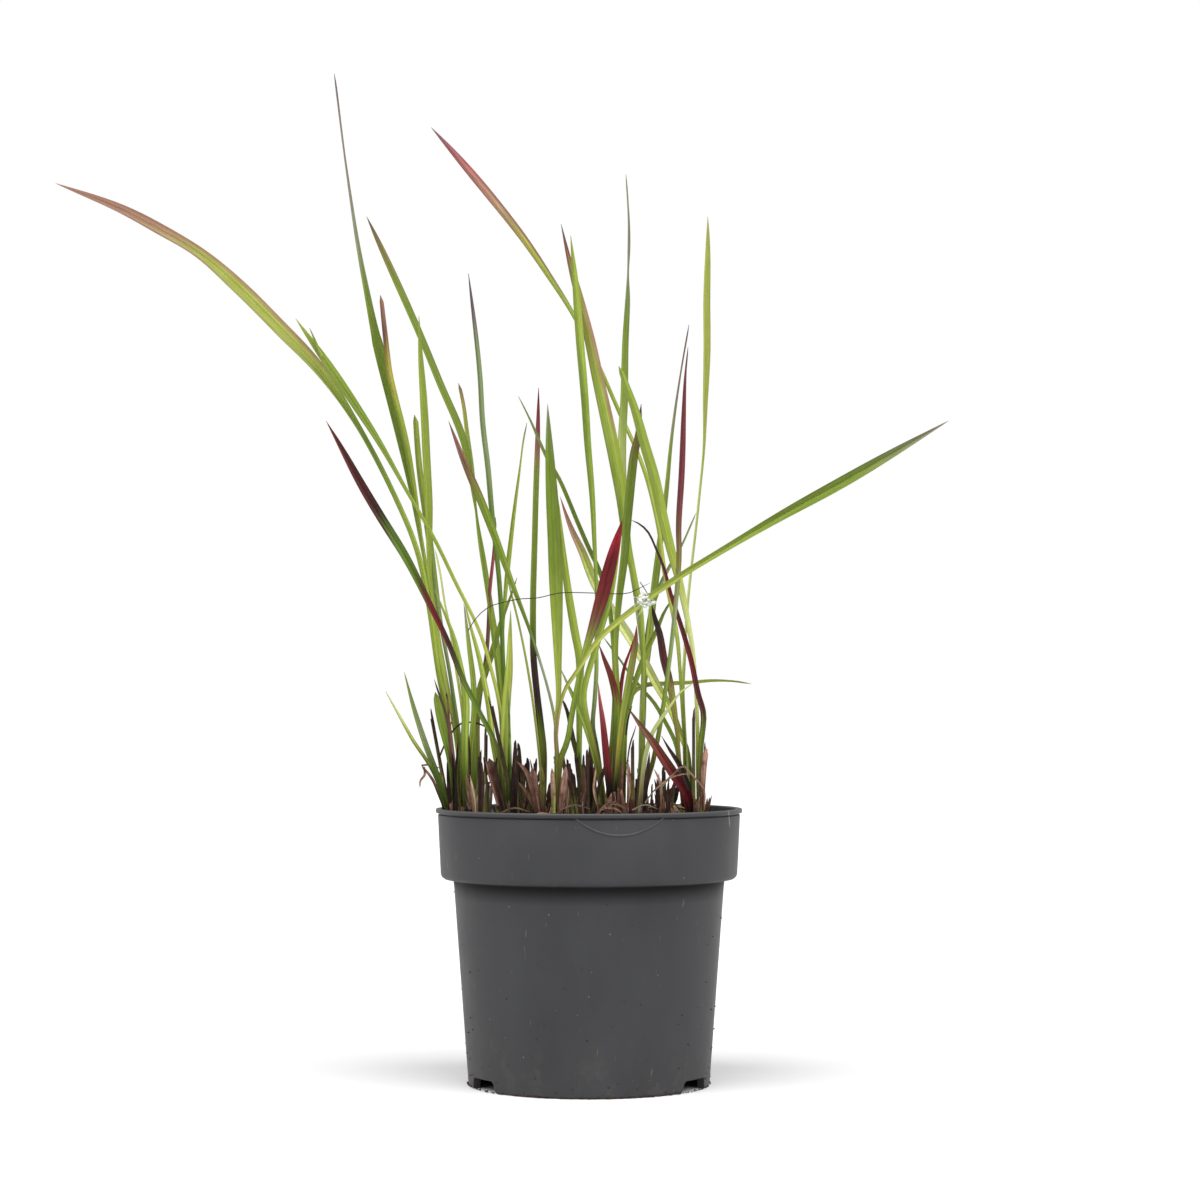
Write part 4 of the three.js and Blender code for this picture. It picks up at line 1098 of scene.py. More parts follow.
leaf(4.3, 48, 50, "olive 0, bright .12, fresh .87, gold .94, bark 1",
     (-45, 179.5), (-48, 213), (-51, 241), (-56.7, 274), (-61.7, 307.5), (-65, 338), (-68, 360.5),
     (-70, 376.5), (-72.5, 389), peak=.55, blunt=.5, waist=(.7, .6, .07))
shoot("red_tipped", -26, 30)
leaf(4.5, 45, 62, "bark 0, olive .09, deep .19, umber .24, umber .38, leaf .44, fresh .6, fresh .8, "
     "rosewood .85, rose .88, wine 1",
     (-25.5, 183), (-27, 198), (-29.6, 220.5), (-31.6, 242.5), (-31, 293.5), (-29.5, 343), (-28, 386.5),
     peak=.55, taper=5, root=3.9)
leaf(1.3, 10, 20, "bark 0, lime .21, lime .6, fresh 1",
     (-26.5, 168.5), (-29.5, 199), (-33, 224), (-38.5, 253), (-45, 279.5), peak=.4, root=1.2)
shoot("pink_tipped", -18, -14)
leaf(4.4, 20, -66, "olive 0, tan .12, lime .21, sage .3, sage .38, deep .44, leaf .6, leaf .78, "
     "olive .83, bark .88, rosewood .95, rose .98, maroon 1",
     (-18, 174), (-19, 201), (-22, 216), (-26.5, 232), (-33.5, 253), (-42.1, 275.7), (-51.6, 301.2),
     (-60.1, 323.2), (-69.9, 346.3), (-78, 368), peak=.8, slim=.36, root=1.3)
shoot("broad", -16, 8)
leaf(8.6, 25, 14, "olive 0, bright .09, tan .19, lime .23, bright .43, leaf .63, leaf .86, greyGreen 1",
     (-17, 174), (-18.5, 194), (-17, 216), (-17.5, 235.5), (-18.5, 263), (-19.5, 296.5), (-21, 324),
     (-22.5, 357.5), (-23, 377.5), peak=.64, slim=.2, root=2.2)
shoot("pale", -5, 28)
leaf(5, 25, 40, "olive 0, fresh .16, bright .56",
     (-5.5, 179.5), (-5.5, 213), (-5.5, 235.5), (-8.5, 252), (-12, 274), (-15, 299.5), (-17, 324),
     peak=.6, root=2.2, slim=.05)
leaf(2.8, 20, 34, "umber 0, deep .41, umber .7",
     (-5, 174), (-9, 191), (-12, 206), (-15, 214), peak=.5, blunt=.4)
shoot("crimson_blade", -18, -36)
leaf(7, 10, -62, "clay 0, olive .14, leaf .23, leaf .52, fresh .57, olive .61, bark .66, sienna .71, "
     "wine .78, wine .87, crimson .94, wine 1",
     (-16, 179), (-12, 190.5), (-9.5, 205.5), (-6.5, 220.5), (-3, 237), (2, 253.5), (6.5, 268.5),
     (11, 285.5), (14, 297), (18.5, 313), peak=.78, root=3, taper=2.6, slim=.5, streak=.005)
shoot("long_right", -18, -52)
leaf(6.4, 10, -140, "olive 0, fresh .07, tan .17, lime .2, lime .37, bright .54, leaf .68, leaf .85, "
     "dusk 1",
     (-18.5, 179.5), (-17, 204.5), (-13.5, 218.5), (-7, 228.5), (6, 247.5), (28.5, 266.5),
     (50.7, 282.1), (72.9, 295.6), (105.8, 315), (139.3, 333.5), (172.9, 352.8), (199.5, 368), peak=.74,
     slim=.1, root=1.2, waist=(.57, .42, .15))
shoot("upright_green", 12, 16)
leaf(6.8, 42, 0, "bark 0, olive .1, bright .29, leaf .53, leaf .84, olive .9, bark .96, umber 1",
     (13.5, 168), (15, 190.5), (15.5, 218.5), (14.5, 241), (16, 268.5), (19, 292.5), (20.7, 316.5),
     (24.7, 352), (26.2, 357), (29, 377.5), peak=.8, root=3, taper=2.6, slim=.3,
     edge=(1, "bark", .84, 1.1))
shoot("narrow_green", 7, -6)
leaf(5.7, 40, -16, "bark 0, deep .05, deep .09, greyGreen .16, fresh .34, leaf .72, bright .84",
     (6, 175.5), (4, 188), (2, 199), (3, 213), (4, 229.5), (4, 246.5), (4, 268.5), (3.2, 291),
     (1.4, 324), (-1.2, 355), (-3, 380), (-5.7, 413), (-8.2, 446.5), (-10.2, 471), peak=.8, root=2.2,
     taper=2.6, slim=.34)
shoot("slender_back", 10, 40)
leaf(3.4, 45, 40, "bark 0, olive .12, leaf .41, deep .59, leaf .79, greyGreen 1",
     (12, 179.5), (14, 213), (13.5, 241), (10.5, 266), (5, 285.5), (-.1, 296.5), (-7.2, 312.7),
     (-16.7, 335.2), (-24.2, 348.7), (-32.7, 368.2), (-39.2, 381.7), peak=.5, taper=4)
shoot("crimson_shoot", 13, -32)
leaf(4, 5, -26, "soot .26, wine .36, wine .6, rose .95",
     (10.5, 172), (9, 188), (7.5, 202), (6, 213), (5, 222.5), peak=.35, root=3)
shoot("low_green", 9, -18)
leaf(3.8, 15, -10, "olive 0, fresh .26, leaf .78, greyGreen 1",
     (7, 163), (4.5, 177), (.5, 192), (-5, 206.5), (-10.5, 218.5), (-16, 231), peak=.4)
leaf(3.4, 15, -32, "olive .14, bright .42, leaf .77, bright 1",
     (7, 166), (4.5, 179.5), (1, 193.5), (-2, 206.5), (-3, 216), (-.5, 228.5), (3, 239.5), (7, 254.5),
     (10.5, 266), (13.5, 279.5), (15.5, 291), (18, 304.5), peak=.7)
shoot("red_hook", 14, 4)
leaf(4, 10, 2, "umber 0, moss .2, deep .45, leaf .6, sienna .72, sienna .9, maroon 1",
     (15, 191), (15, 213), (12, 226.5), (8.5, 235.5), (5.5, 244), peak=.6, taper=2.6)
shoot("olive_red_tip", 14, -8)
leaf(4.1, 20, -14, "soot 0, umber .14, olive .22, gold .35, fresh .6, olive .84, bark .93, brick .97",
     (14.5, 163), (16.5, 188), (18.5, 204.5), (21, 218.5), (23.5, 232.5), (25.5, 243.5), (26.5, 254.5),
     peak=.75, taper=2.6, root=2)
shoot("dark_red", 18, 26)
leaf(2.3, 10, 22, "umber 0, deep .1, deep .35, olive .5, bark .6, brick .7, sienna .8, crimson .92, "
     "wine 1",
     (16.5, 179.5), (16.5, 202), (17.5, 218.5), (19.5, 231), (23, 241), (26, 250), peak=.5, taper=2.6)
shoot("level", 19, 44)
leaf(3, 30, 60, "olive 0, bright .24, lime .53, lime .79, leaf 1",
     (19.5, 188), (21, 208.5), (24.5, 217.5), (31, 221.5), (45, 222.5), (56.5, 223), (69, 224),
     (81, 223.5), (90, 222), peak=.5)
leaf(3.2, 20, 32, "olive 0, leaf .25, fresh .67, leaf 1",
     (18.5, 185.5), (20.5, 202), (23.5, 216), (28, 230.5), (33.5, 243.5), (38, 253), (41.5, 261.5),
     (45.5, 268), (49, 274), peak=.6)
shoot("broad_olive", 27, 8)
leaf(8.3, 30, 30, "olive 0, lime .06, fresh .2, bright .43, bright .7, olive .8, olive .9, "
     "rosewood .93, wine .96, maroon .98, plum 1",
     (28.5, 176), (30, 198), (30, 218.5), (30, 243), (28.5, 264), (24.6, 281.9), (20.8, 299.4),
     (17.8, 323.9), (13.8, 346.4), (9.3, 368.4), (3.8, 393.4), (-.2, 412.9), (-5.7, 435.4),
     (-10.7, 455), (-15.5, 477.5), peak=.6, root=2.4, taper=2.6, edge=(1, "rosewood", .6, .82), slim=.3)
leaf(6.4, 45, 46, "olive 0, greyGreen .09, pale .5, fresh .62, leaf .76, greyGreen .82, dusk .88, "
     "greyGreen 1",
     (30, 202), (30, 235.5), (25.8, 268.5), (21.2, 299), (18.2, 329.5), (17.7, 357.5), (18.7, 380),
     (19.7, 413), (21.2, 441), (22, 475.5), (20.5, 505), peak=.6, taper=1.3, waist=(.845, .6, .03),
     slim=.3)
shoot("back_green", 29, 50)
leaf(5.6, 45, 62, "umber 0, deep .1, bright .18, lime .28, leaf .45, leaf .6, fresh .72, dusk .86, "
     "bark 1",
     (29, 191), (30, 218.5), (33, 246.5), (35.5, 274), (38.5, 298.5), (42, 324), (45, 353.5),
     (48.5, 380), (52, 402), (55.5, 421.5), peak=.5, taper=.9)
leaf(2.8, 20, 80, "deep 0, greyGreen 1",
     (30, 202), (31, 232.5), (34, 260.5), (39.5, 277), (46, 289.5), (51.5, 299), (56, 309), (59.5, 317),
     peak=.5)
shoot("upright_maroon", 30, -14)
leaf(4.2, 40, -34, "bark 0, olive .11, leaf .26, greyGreen .47, olive .54, bark .62, wineBrown .7, "
     "wineBrown .92, plum 1",
     (31.5, 164.5), (35.5, 179), (41, 209), (44.5, 235.5), (48, 268), (49.5, 291), (49.3, 309),
     (50.8, 335.5), (52.3, 373), (53.4, 394), (55, 409), peak=.7, root=2.4, taper=2, slim=.3)
shoot("pale_thread", 28, -30)
leaf(2.4, 20, -36, "tan 0, pale .41",
     (31, 181.5), (34.5, 193.5), (39.5, 202), (45, 209.5), (50.5, 217), (58, 222.5), peak=.4)
shoot("long_left", 54, 20)
leaf(6.8, 40, 66, "olive 0, fresh .07, lime .29, bright .54, bright .67, fresh .7, bright .74, "
     "gold .78, olive .81, tan .84, rosewood .875, rose .95, plum 1",
     (53.5, 177), (53, 191), (51.5, 213), (49, 246.5), (45.5, 266), (41.5, 285.5), (38, 310.5),
     (32, 335.5), (25.5, 353), (18.5, 368.5), (4, 401), (-9, 427), (-21.5, 446.5), (-36.5, 468.5),
     (-54, 490.6), (-72.1, 512.6), (-87.6, 531.1), peak=.88, slim=.64, root=2.8,
     edge=(1, "bark", .66, .86), waist=(.16, .42, .09))
shoot("upright_yellow", 56, 32)
leaf(6.2, 50, 26, "olive .07, fresh .17, pale .37, lime .61",
     (54, 179.5), (52.5, 202), (52, 218.5), (53, 238), (54.4, 263), (57.1, 291), (60.6, 321.5),
     (63.4, 352), (64.1, 380), (64.6, 407.5), (64.6, 435.5), (65.4, 463), (66, 481.5), peak=.82,
     slim=.45, root=1.9, waist=(.6, .42, .09), taper=3.2)
shoot("right_green", 61, 12)
leaf(7.2, 35, -14, "olive 0, leaf .08, lime .2, pale .3, pale .44, lime .52, bright .61, fresh 1",
     (60.5, 176), (60, 202), (58, 236), (53.3, 262.9), (49.6, 279.4), (45.5, 293.5), (40.6, 313),
     (35.8, 335.4), (30.1, 354.9), (25, 373.9), (16.5, 398.5), peak=.7, blunt=.4, root=2, slim=.3)
shoot("crimson_stem", 62, -4)
leaf(3, 10, -8, "olive .11, deep .3, maroon .34, maroon .42, wine .52, maroon .62, wine .72, "
     "maroon .84, umber .91",
     (61.5, 176), (62.5, 190.5), (63.5, 205.5), (60.5, 216.5), (56.5, 235.5), (50.5, 256),
     (45.5, 271.5), (41.5, 286.5), (37, 297.5), (33, 306), (28.5, 310.5), (23.5, 313), peak=.35,
     root=1.9)
shoot("blunt_maroon", 53, -2)
leaf(4.2, 10, 0, "umber 0, olive .35, olive .6, maroon .68, maroon .8, umber .88, soot .97",
     (50, 183), (49, 194), (47, 209), (44.5, 224), (41.5, 235.5), (39, 250.5), (36.5, 258.5),
     (35, 265.5), peak=.7, blunt=.3, root=1.7, slim=.25)
shoot("yellow_back", 57, 40)
leaf(5.6, 15, 62, "olive 0, leaf .15, lime .29, pale .5, pale .7, lime .8, tan .86, rosewood .92, "
     "red .97, wine 1",
     (54.5, 184), (50.5, 194.5), (45.5, 207.5), (38, 220.5), (32, 231.5), (25, 243.5), (19, 253),
     (11.5, 264), (3, 278), (-4, 295.5), (-9, 306), (-13, 316.5), (-16, 326), peak=.6, taper=2.6)
shoot("thin_back", 54, 52)
leaf(2.4, 20, 58, "deep 0, leaf .62, greyGreen 1",
     (50, 179.5), (48, 189), (41, 203), (36, 211.5), (29.5, 219), (23.5, 226.5), (16, 237), (8, 248),
     peak=.4)
shoot("red_diagonal", 57, -40)
leaf(5.7, 5, -46, "umber .08, wine .16, wine .36, sienna .46, sienna .62, bark .74, bark .9, umber 1",
     (54, 161), (48, 170.5), (41, 181), (34.5, 191), (28.5, 199), (21.5, 209), peak=.25, root=5.4)


slotOf = {part["node"]: part["material_slot"] for part in frame["record"]["subparts"]}
wraps = {
    "sunk": 3, "radius": 2.2, "spread": (.9, 1.15), "heights": (9, 21), "lean": .08, "foot": "umber",
    "tips": ["olive", "bark", "rosewood", "tan", "umber"],
}


def camel(node):
    first, *rest = node.split("_")
    return first + "".join(word.capitalize() for word in rest)


def oldSheath(foot, lean):
    # A dead sheath round the foot of a shoot
    lean = lean / np.linalg.norm(lean) + dice.normal(0, wraps["lean"], 3)
    wide = wraps["radius"] * dice.uniform(*wraps["spread"])
    high = dice.uniform(*wraps["heights"])
    at = foot - np.array([0, 0, wraps["sunk"]])
    matrix = pose(at, lean, dice.uniform(0, wholeTurn), wide, wide, high)
    dead = gather("wraps", [(oneOf("wrap"), matrix, wraps["foot"], dice.choice(wraps["tips"]))])
    dead.data.materials.append(skins["dry"])
    return dead


def makeShoot(node, foot, leaves):
    parts = [bladeAlong("leaf", points, form, stops) for points, form, stops in leaves]
    for part in parts:
        part.data.materials.append(skins["blade"])
    firstLeaf = leaves[0][0]
    parts.append(oldSheath(foot, firstLeaf[1] - foot))
    piece = join(camel(node), parts)
    shadeSmooth(piece, blades["smoothAngle"])
    assign(piece, slotOf[node], node)


for shape in shoots:
    makeShoot(**shape)
print("shoots grown", len(shoots))


# Crowns of dead shoots, on the stubs of the CAD crowns, and slimmer ones among them. Each of the
# others has its kind, how many, their heights and their radii.

crowns = {
    "least": 6, "root": 2, "capSlope": .6, "capAlike": .995, "capReach": 3.4,
    # Painted shade: the lower tones darken each stub towards its foot
    "lower": ["soot", "soot", "umber", "umber"],
    "upper": ["bark", "bark", "brown", "brown", "brown", "umber", "umber", "rosewood"],
    "green": ["olive", "moss"], "pale": ["bark", "rosewood", "tan", "dusk"],
    "paleNodes": ["stubs_far_left"], "kinds": ["hollow", "hollow", "split", "split", "spike"],
    "flat": (.7, 1), "within": 70, "rimLength": 35, "rimShare": .55, "greenLength": 24,
    "wrapChance": .4, "wrapRadius": 1.2, "wrapHeights": (.3, .6),
    "coreLeast": 1.2, "coreRadius": .45, "coreHeights": (.8, 1.02),
    "others": [("spike", (2, 5), (6, 18), (.35, .85)), ("split", (1, 3), (6, 18), (.7, 1.3)),
               ("curl", (2, 5), (6, 16), (.3, .8)), ("shred", (2, 5), (6, 16), (.3, .8))],
    "reach": .3, "lean": .3, "lumps": 7, "lumpRing": 3, "lumpSizes": (1.5, 3), "smoothAngle": 45,
}


def stubsOf(node):
    # The foot, axis, radius and length of each stub, from the faces on its top
    mesh = frame["nodes"][node].data
    caps = []
    for face in mesh.polygons:
        centre = face.center / mm
        lowest = soilLevel(centre.x, centre.y) + crowns["least"]
        if face.normal.z < crowns["capSlope"] or centre.z < lowest:
            continue
        corners = [mesh.vertices[i].co / mm for i in face.vertices]
        for cap in caps:
            alike = face.normal.dot(cap["axis"]) > crowns["capAlike"]
            if alike and (centre - cap["corners"][0]).length < crowns["capReach"]:
                cap["corners"] += corners
                break
        else:
            caps.append({"axis": face.normal.copy(), "corners": corners})
    found = []
    for cap in caps:
        axis = cap["axis"]
        top = sum(cap["corners"], Vector()) / len(cap["corners"])
        radius = max((corner - top).length for corner in cap["corners"])
        length = (top.z - soilLevel(top.x, top.y) + crowns["root"]) / axis.z
        found.append((top - axis * length, axis, radius, length))
    return found


def makeCrown(node):
    copies = []

    def put(kind, at, axis, radius, length):
        low, high = dice.choice(crowns["lower"]), dice.choice(crowns["upper"])
        if kind == "cut":
            low, high = dice.choice(crowns["green"]), "umber"
        elif kind in ("shred", "curl") or node in crowns["paleNodes"]:
            high = dice.choice(crowns["pale"])
        flat = dice.uniform(*crowns["flat"])
        matrix = pose(at, axis, dice.uniform(0, wholeTurn), radius, radius * flat, length)
        copies.append((oneOf(kind), matrix, low, high))

    for at, axis, radius, length in stubsOf(node):
        top = at + axis * length
        # By the rim the short stubs are shorter still
        if length < crowns["rimLength"] and math.hypot(top.x, top.y) > crowns["within"]:
            length *= crowns["rimShare"]
        kind = "cut" if length > crowns["greenLength"] else dice.choice(crowns["kinds"])
        put(kind, at, axis, radius, length)
        if dice.uniform() < crowns["wrapChance"]:
            high = length * dice.uniform(*crowns["wrapHeights"])
            put("wrap", at, axis, radius * crowns["wrapRadius"], high)
        if kind not in ("spike", "cut") and radius > crowns["coreLeast"]:
            high = length * dice.uniform(*crowns["coreHeights"])
            put("spike", at, axis, radius * crowns["coreRadius"], high)
    low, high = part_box(node)
    middle = (low + high) / 2 / mm
    middle *= min(1, crowns["within"] / math.hypot(middle.x, middle.y))
    reach = min(high.x - low.x, high.y - low.y) / mm * crowns["reach"]
    for kind, counts, heights, radii in crowns["others"]:
        for _ in range(dice.integers(*counts)):
            angle, out = dice.uniform(0, wholeTurn), reach * math.sqrt(dice.uniform())
            x, y = middle.x + out * math.cos(angle), middle.y + out * math.sin(angle)
            lean = crowns["lean"] * dice.uniform()
            axis = (lean * math.cos(angle), lean * math.sin(angle), 1)
            at = (x, y, soilLevel(x, y) - crowns["root"])
            put(kind, at, axis, dice.uniform(*radii), dice.uniform(*heights))
    for _ in range(crowns["lumps"]):
        angle, ring = dice.uniform(0, wholeTurn), crowns["lumpRing"]
        x, y = middle.x + ring * math.cos(angle), middle.y + ring * math.sin(angle)
        size = dice.uniform(*crowns["lumpSizes"])
        matrix = pose((x, y, soilLevel(x, y)), upright, angle, size, size, size)
        copies.append((oneOf("lump"), matrix, "soot", "umber"))
    piece = gather(camel(node), copies)
    shadeSmooth(piece, crowns["smoothAngle"])
    dress(piece, skins["dry"], "stub", node)


litter = {
    "levels": 2, "rough": .0006, "roughScale": 260, "toneScale": 90, "tones": ("brown", "tan"),
    "smoothAngle": 60,
}


def makeLitter(node):
    # The CAD strips, made finer and uneven
    pick(frame["nodes"][node])
    bpy.ops.object.duplicate()
    piece = named(camel(node))
    editAll()
    bpy.ops.mesh.remove_doubles(threshold=.00001)
    bpy.ops.mesh.tris_convert_to_quads()
    leaveEdit()
    finer = piece.modifiers.new("finer", "SUBSURF")
    finer.levels = finer.render_levels = litter["levels"]
    applyAll(piece)
    mesh = piece.data
    share = np.array([[noise.noise(v.co * litter["toneScale"]) + .5] for v in mesh.vertices])
    for vertex in mesh.vertices:
        vertex.co += noise.noise_vector(vertex.co * litter["roughScale"]) * litter["rough"]
    while mesh.color_attributes:
        mesh.color_attributes.remove(mesh.color_attributes[0])
    dark, light = litter["tones"]
    paint(mesh, palette[dark] * (1 - share) + palette[light] * share)
    shadeSmooth(piece, litter["smoothAngle"])
    dress(piece, skins["dry"], "litter", node)


for node in sorted(frame["nodes"]):
    if node.startswith("stubs"):
        makeCrown(node)
    elif node.startswith("litter"):
        makeLitter(node)
print("dead shoots and litter laid")


# Dry leaves and stalks that the photo shows by the rim, each with its width, depth, tones and route

dryForm = {**usualForm, "peak": .5, "slim": 0, "taper": 2, "blunt": .5, "fold": .2, "wave": .5, "roll": 0,
           "twist": 25}
rimInside = 79  # the radius within which the strips stand
strips = []


def strip(width, depth, lower, upper, *route, **form):
    form = {**dryForm, "width": width, "root": width * .8, "seed": 200 + len(strips), **form}
    # The foot stays inside the rim
    out = min(abs(route[0][0]), rimInside - .1)
    depth = max(depth, 1 - math.sqrt(rimInside ** 2 - out ** 2))
    points = [behind(across, up, depth) for across, up in route]
    strips.append(bladeAlong("strip", points, form, [(0, lower), (.5, upper), (1, upper)]))


strip(1.8, -12, "bark", "rosewood", (-79.5, 150.8), (-83.3, 160.3), (-86.7, 168.1), (-90.6, 173.1),
      (-93.9, 176.4), (-91.1, 177.5), (-86.7, 177), (-82.2, 174.7), twist=90)
strip(1.3, -12, "rosewood", "tan", (-91.7, 175.8), (-91.1, 171.4), (-93.3, 168.1), (-93.9, 164.2),
      twist=60)
strip(4.4, -30, "umber", "olive", (-79.5, 150.8), (-81.7, 162), (-83.9, 173.6), blunt=.9, peak=.9,
      root=3)
strip(3.6, -46, "umber", "umber", (-76.7, 150.8), (-77.2, 165.8), (-78.3, 181.4))
strip(1.7, -40, "soot", "soot", (-75, 150.8), (-75, 168.6), (-76.1, 184.2))
strip(1.3, -67, "umber", "bark", (-76.7, 174.2), (-77.2, 186.4), (-77.5, 196.4), (-76.1, 201.4),
      (-74.5, 207), twist=90, blunt=.1)
strip(.8, -68, "umber", "umber", (-83.3, 180.8), (-81.3, 185.8), (-78.9, 190.8), (-76.1, 195.3),
      (-71.7, 199.7), (-66.9, 200.8), (-63.3, 200.6), (-59.7, 199.3), (-56.1, 197.5), (-53.3, 195.3),
      wave=0)
strip(2.5, -60, "clay", "rosewood", (-65, 152.5), (-66.7, 162), (-68.1, 171.4), peak=.4, blunt=.1)
strip(1.9, -62, "straw", "straw", (-63.1, 150.8), (-64.4, 160.3), (-66.1, 171.4), peak=.3, blunt=0)
strip(1.4, -30, "soot", "umber", (-65.6, 150.8), (-66.1, 171.4), (-66.9, 193.6))
strip(3.1, -50, "umber", "umber", (-60.3, 151.4), (-60, 165.8), (-60.8, 181.4))
strip(5.6, -50, "umber", "brown", (-47.8, 150.8), (-51.1, 163.1), (-55.6, 180.8), peak=.9, blunt=.6,
      root=4)
strip(1.2, -52, "rosewood", "bark", (-50.6, 154.2), (-54.4, 167.5), (-57.8, 180.3), blunt=.3)
strip(1.3, -51, "brown", "umber", (-46.1, 150.8), (-49.4, 163.1), (-52.8, 178.6), blunt=.2)
strip(1.1, -51, "umber", "soot", (-56.7, 171.4), (-57.8, 177), (-58.6, 181.4))
strip(1.1, -51, "brown", "soot", (-51.7, 171.4), (-51.7, 177), (-51.1, 181.4))
strip(1.3, -46, "soot", "umber", (-42.2, 150.8), (-42.5, 168.6), (-41.7, 187.2))
strip(1.4, -48, "soot", "umber", (-40.6, 150.8), (-40.3, 168.6), (-38.9, 186.7))
strip(3.3, -44, "soot", "umber", (-41.7, 150.8), (-41.7, 163.1), (-42.2, 175.3), blunt=.4)
strip(2.5, -52, "bark", "bark", (-28.9, 150.8), (-31.7, 163.1), (-35.4, 173.7), (-40, 178.9))
strip(1.9, -56, "brown", "bark", (-29.4, 150.8), (-34.4, 160.8), (-39.4, 167.5), blunt=.3)
strip(4.2, -50, "bark", "rosewood", (-27.8, 150.8), (-30, 163.1), (-31.7, 175.3), blunt=.8, peak=.8)
strip(1.3, -52, "rosewood", "bark", (-27.8, 150.8), (-30, 165.8), (-32.8, 180.3), blunt=.2)
strip(3.3, -44, "bark", "olive", (-25.6, 150.8), (-26.1, 163.1), (-26.7, 177), blunt=.6)
strip(2.8, -58, "lime", "tan", (-19.7, 150.3), (-20, 163.1), (-20.6, 175.3), blunt=.6)
strip(3.6, -60, "bark", "rosewood", (-16.1, 150.3), (-14.4, 163.1), (-12.8, 176.4), peak=.6)
strip(2, -54, "rosewood", "tan", (-12.8, 150.8), (-11.9, 163.1), (-11.4, 175.3), blunt=.6)
strip(1.4, -40, "soot", "umber", (-7.8, 150.8), (-8.9, 163.1), (-10.6, 174.2))
strip(2.8, -56, "umber", "brown", (-3.3, 151.4), (-2.8, 163.1), (-3.3, 176.4), blunt=.6)
strip(2.2, -50, "soot", "umber", (.6, 151.4), (1.1, 165.8), (0, 187.5), blunt=.3)
strip(1.7, -52, "soot", "brown", (3.3, 151.4), (3.3, 163.1), (2.8, 177))
strip(1.4, -58, "brown", "tan", (5.6, 151.4), (2.8, 163.1), (3.9, 175.3), blunt=.2)
strip(2.2, -50, "brown", "bark", (18.3, 151.4), (17.8, 165.8), (18.3, 179.7), blunt=.4)
strip(2.2, -53, "umber", "rosewood", (21.7, 151.4), (22.2, 165.8), (21.7, 178.6))
strip(1.1, -56, "bark", "tan", (20, 151.4), (22.8, 163.1), (20.6, 174.2), (22.2, 179.7), twist=120)
strip(.7, -40, "umber", "umber", (21.1, 177), (22.8, 188.6), (24.4, 193.6), (26.1, 198.6), blunt=.1)
strip(.8, -34, "umber", "umber", (20.6, 193.6), (21.7, 203.1), (23.9, 209.7), blunt=.1)
strip(2.5, -45, "soot", "umber", (30.6, 151.4), (31.7, 165.8), (33.6, 184.2), blunt=.1)
strip(.7, -62, "dusk", "tan", (31.1, 155.8), (35, 161.4), (38.7, 165), (43.9, 169.2), (50.6, 171.7),
      (56.1, 172), wave=.2)
strip(.8, -60, "dusk", "rosewood", (39.4, 163.1), (43.9, 169.2), (48.9, 173.6), (51.7, 177),
      (56.7, 172.2), (60.8, 167.5), (63.9, 164), (64.4, 157.5), (63.9, 151.4), wave=.2)
strip(1.4, -58, "bark", "rosewood", (40, 154.2), (40, 164.5), (38.7, 169.7), (36.1, 174.7), blunt=.2)
strip(.9, -30, "brown", "rosewood", (63.3, 151.4), (62.8, 157.5), (61.7, 164.2))
strip(.9, -77, "bark", "rosewood", (8.9, 151.4), (12.2, 155.3), (17.2, 154.7), (21.7, 151.4))
strip(1, -79, "bark", "tan", (4.4, 150.8), (9.4, 153.1), (15, 152.5), (18.9, 149.7))
strip(.9, -75, "rosewood", "bark", (5, 150.8), (10, 155.3), (15.6, 155.8), (20.6, 152))
strip(2.8, -44, "soot", "umber", (56.1, 163.1), (50, 177), (45, 184.7), (40.3, 193.1), peak=.2, blunt=0)
strip(1.7, -66, "soot", "bark", (-76.1, 157.5), (-76.7, 179.7), (-77.8, 199.2), (-78.6, 216.4), peak=.3,
      blunt=.1)
strip(1.1, -66, "soot", "soot", (-73.3, 150.8), (-73.9, 174.2), (-72.8, 189.7))
# A dark green strip of painted shade along the right half of a pale blade behind it
strip(1.4, -42, "moss", "deep", (-43.1, 151.4), (-43.6, 168.6), (-43.9, 190.8), (-44.7, 213.1),
      (-45, 218.6), peak=.3, blunt=.2)
strip(.7, -76, "rosewood", "dusk", (-16.1, 152), (-7.8, 154.7), (.6, 152.5))
strip(.7, -75, "tan", "dusk", (23.9, 152), (31.1, 154.7), (38.3, 152.5))
strip(.7, -74, "bark", "tan", (-49.4, 150.3), (-41.1, 153.1), (-32.8, 150.8))
strip(3.1, -31, "bark", "rosewood", (62.8, 154.2), (63.3, 171.4), (64.9, 187), blunt=.8, peak=.9)
strip(.36, -45, "umber", "umber", (-67.2, 251.4), (-63.9, 257), (-59.4, 262), (-54.4, 265.3),
      (-48.9, 267), (-38.3, 269.2), (-28.9, 269.7), (-16.1, 272.5), (1.7, 272.5), (15.6, 272),
      (22.2, 272.5), (28.3, 275.3), (33.9, 278.1), wave=0, twist=0, fold=0)
strip(.36, -45, "umber", "umber", (28.3, 278.6), (30.6, 275.3), (32.8, 271.4), wave=0, twist=0, fold=0)
piece = join("dryLeaves", strips)
shadeSmooth(piece, litter["smoothAngle"])
dress(piece, skins["dry"], "litter")


# A tuft of pale web caught between the blades, and grains of compost on the outside of the pot

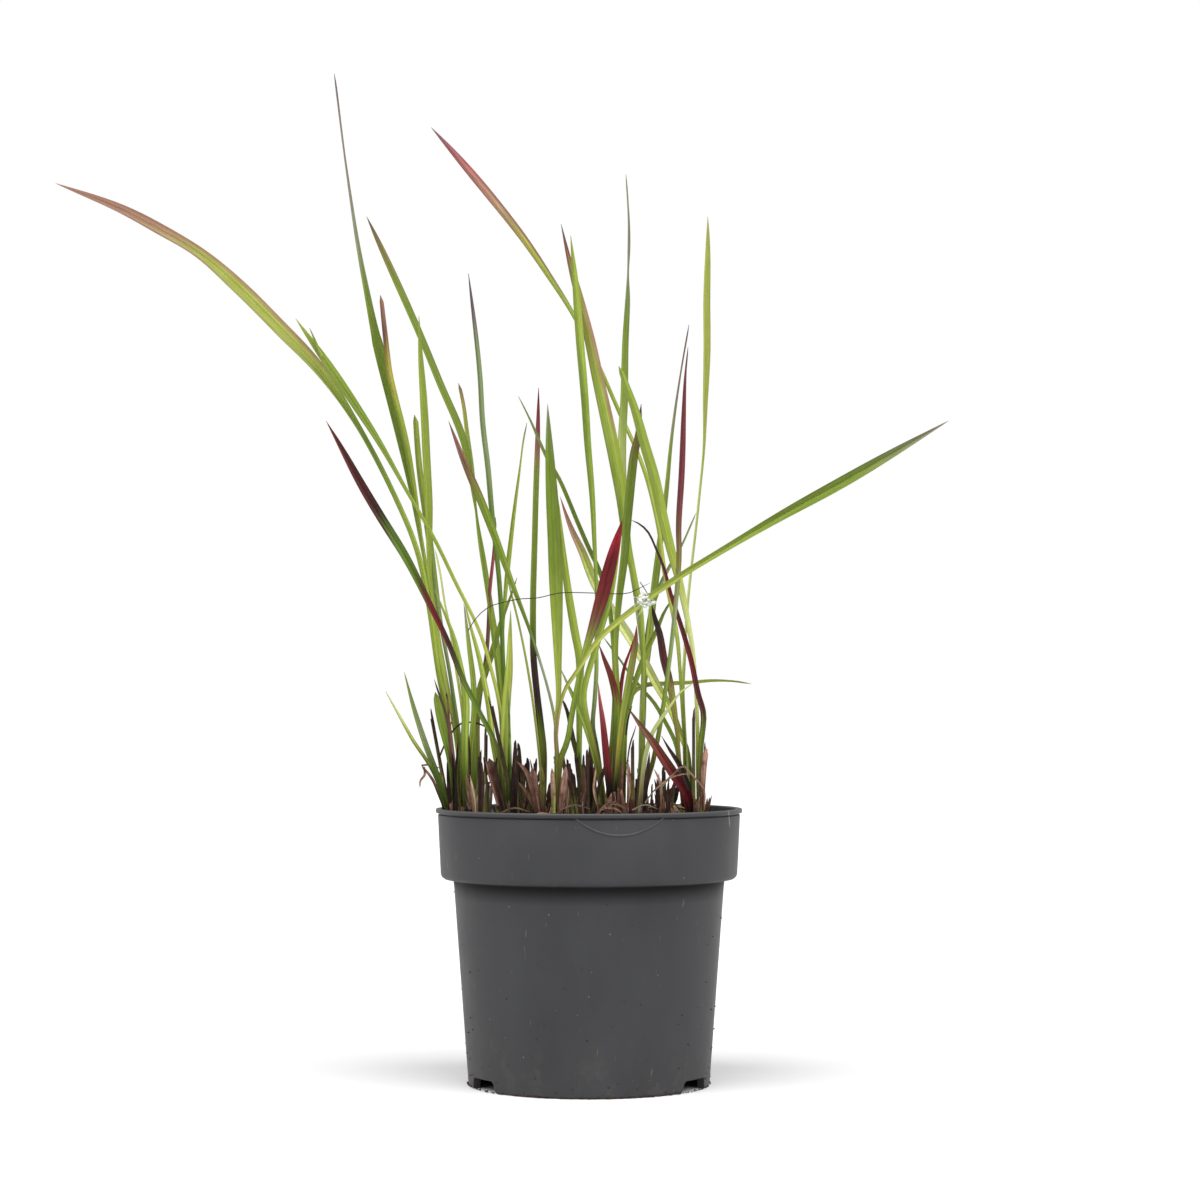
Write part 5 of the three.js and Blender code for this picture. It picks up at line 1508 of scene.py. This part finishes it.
fluff = {
    "across": 31, "up": 268, "depth": -88, "tones": ("straw", "pale"),
    "lumps": 48, "lumpSpread": (1.9, .8, 1.7), "lumpSizes": (.7, 1.6), "stretch": 1.5,
    "threads": 34, "threadSpread": (2.4, 1, 1.8), "threadAxes": (1, .3, .5), "threadWidth": .12,
    "threadLengths": (3, 8), "smoothAngle": 60,
}


def makeFluff():
    middle = behind(fluff["across"], fluff["up"], fluff["depth"])
    copies = []
    for _ in range(fluff["lumps"]):
        at = middle + dice.normal(0, 1, 3) * fluff["lumpSpread"]
        size = dice.uniform(*fluff["lumpSizes"])
        model, turn = oneOf("lump"), dice.uniform(0, looseTurn)
        matrix = pose(at, upright, turn, size * fluff["stretch"], size, size)
        copies.append((model, matrix, *fluff["tones"]))
    for _ in range(fluff["threads"]):
        at = middle + dice.normal(0, 1, 3) * fluff["threadSpread"]
        axis = dice.normal(0, 1, 3) * fluff["threadAxes"]
        model, length = oneOf("shred"), dice.uniform(*fluff["threadLengths"])
        matrix = pose(at, axis, 0, fluff["threadWidth"], fluff["threadWidth"], length)
        copies.append((model, matrix, *fluff["tones"]))
    tuft = gather("seedFluff", copies)
    shadeSmooth(tuft, fluff["smoothAngle"])
    dress(tuft, skins["web"], "litter")


grit = {
    "grains": 640, "onWall": 200, "wallHeight": 108, "footLevels": (.3, .8), "footSpread": (-.5, .4),
    "sizes": (.2, .62), "tones": ("umber", "bark"), "smoothAngle": 60,
}


def makeGrit():
    copies = []
    slope = pot["bodyTop"] - pot["base"]
    for i in range(grit["grains"]):
        angle = dice.uniform(0, wholeTurn)
        if i < grit["onWall"]:
            level = 1 + grit["wallHeight"] * dice.uniform() ** 3
        else:
            level = dice.uniform(*grit["footLevels"])
        radius = pot["base"] + slope * level / (pot["collarLevel"] - 5)
        if level < 1:
            radius += dice.uniform(*grit["footSpread"])
        size = dice.uniform(*grit["sizes"])
        at = (radius * math.cos(angle), radius * math.sin(angle), level)
        copies.append((oneOf("lump"), pose(at, upright, angle, size, size, size), *grit["tones"]))
    grains = gather("potGrit", copies)
    shadeSmooth(grains, grit["smoothAngle"])
    dress(grains, skins["dry"], "soil")


makeFluff()
makeGrit()
print("details added")
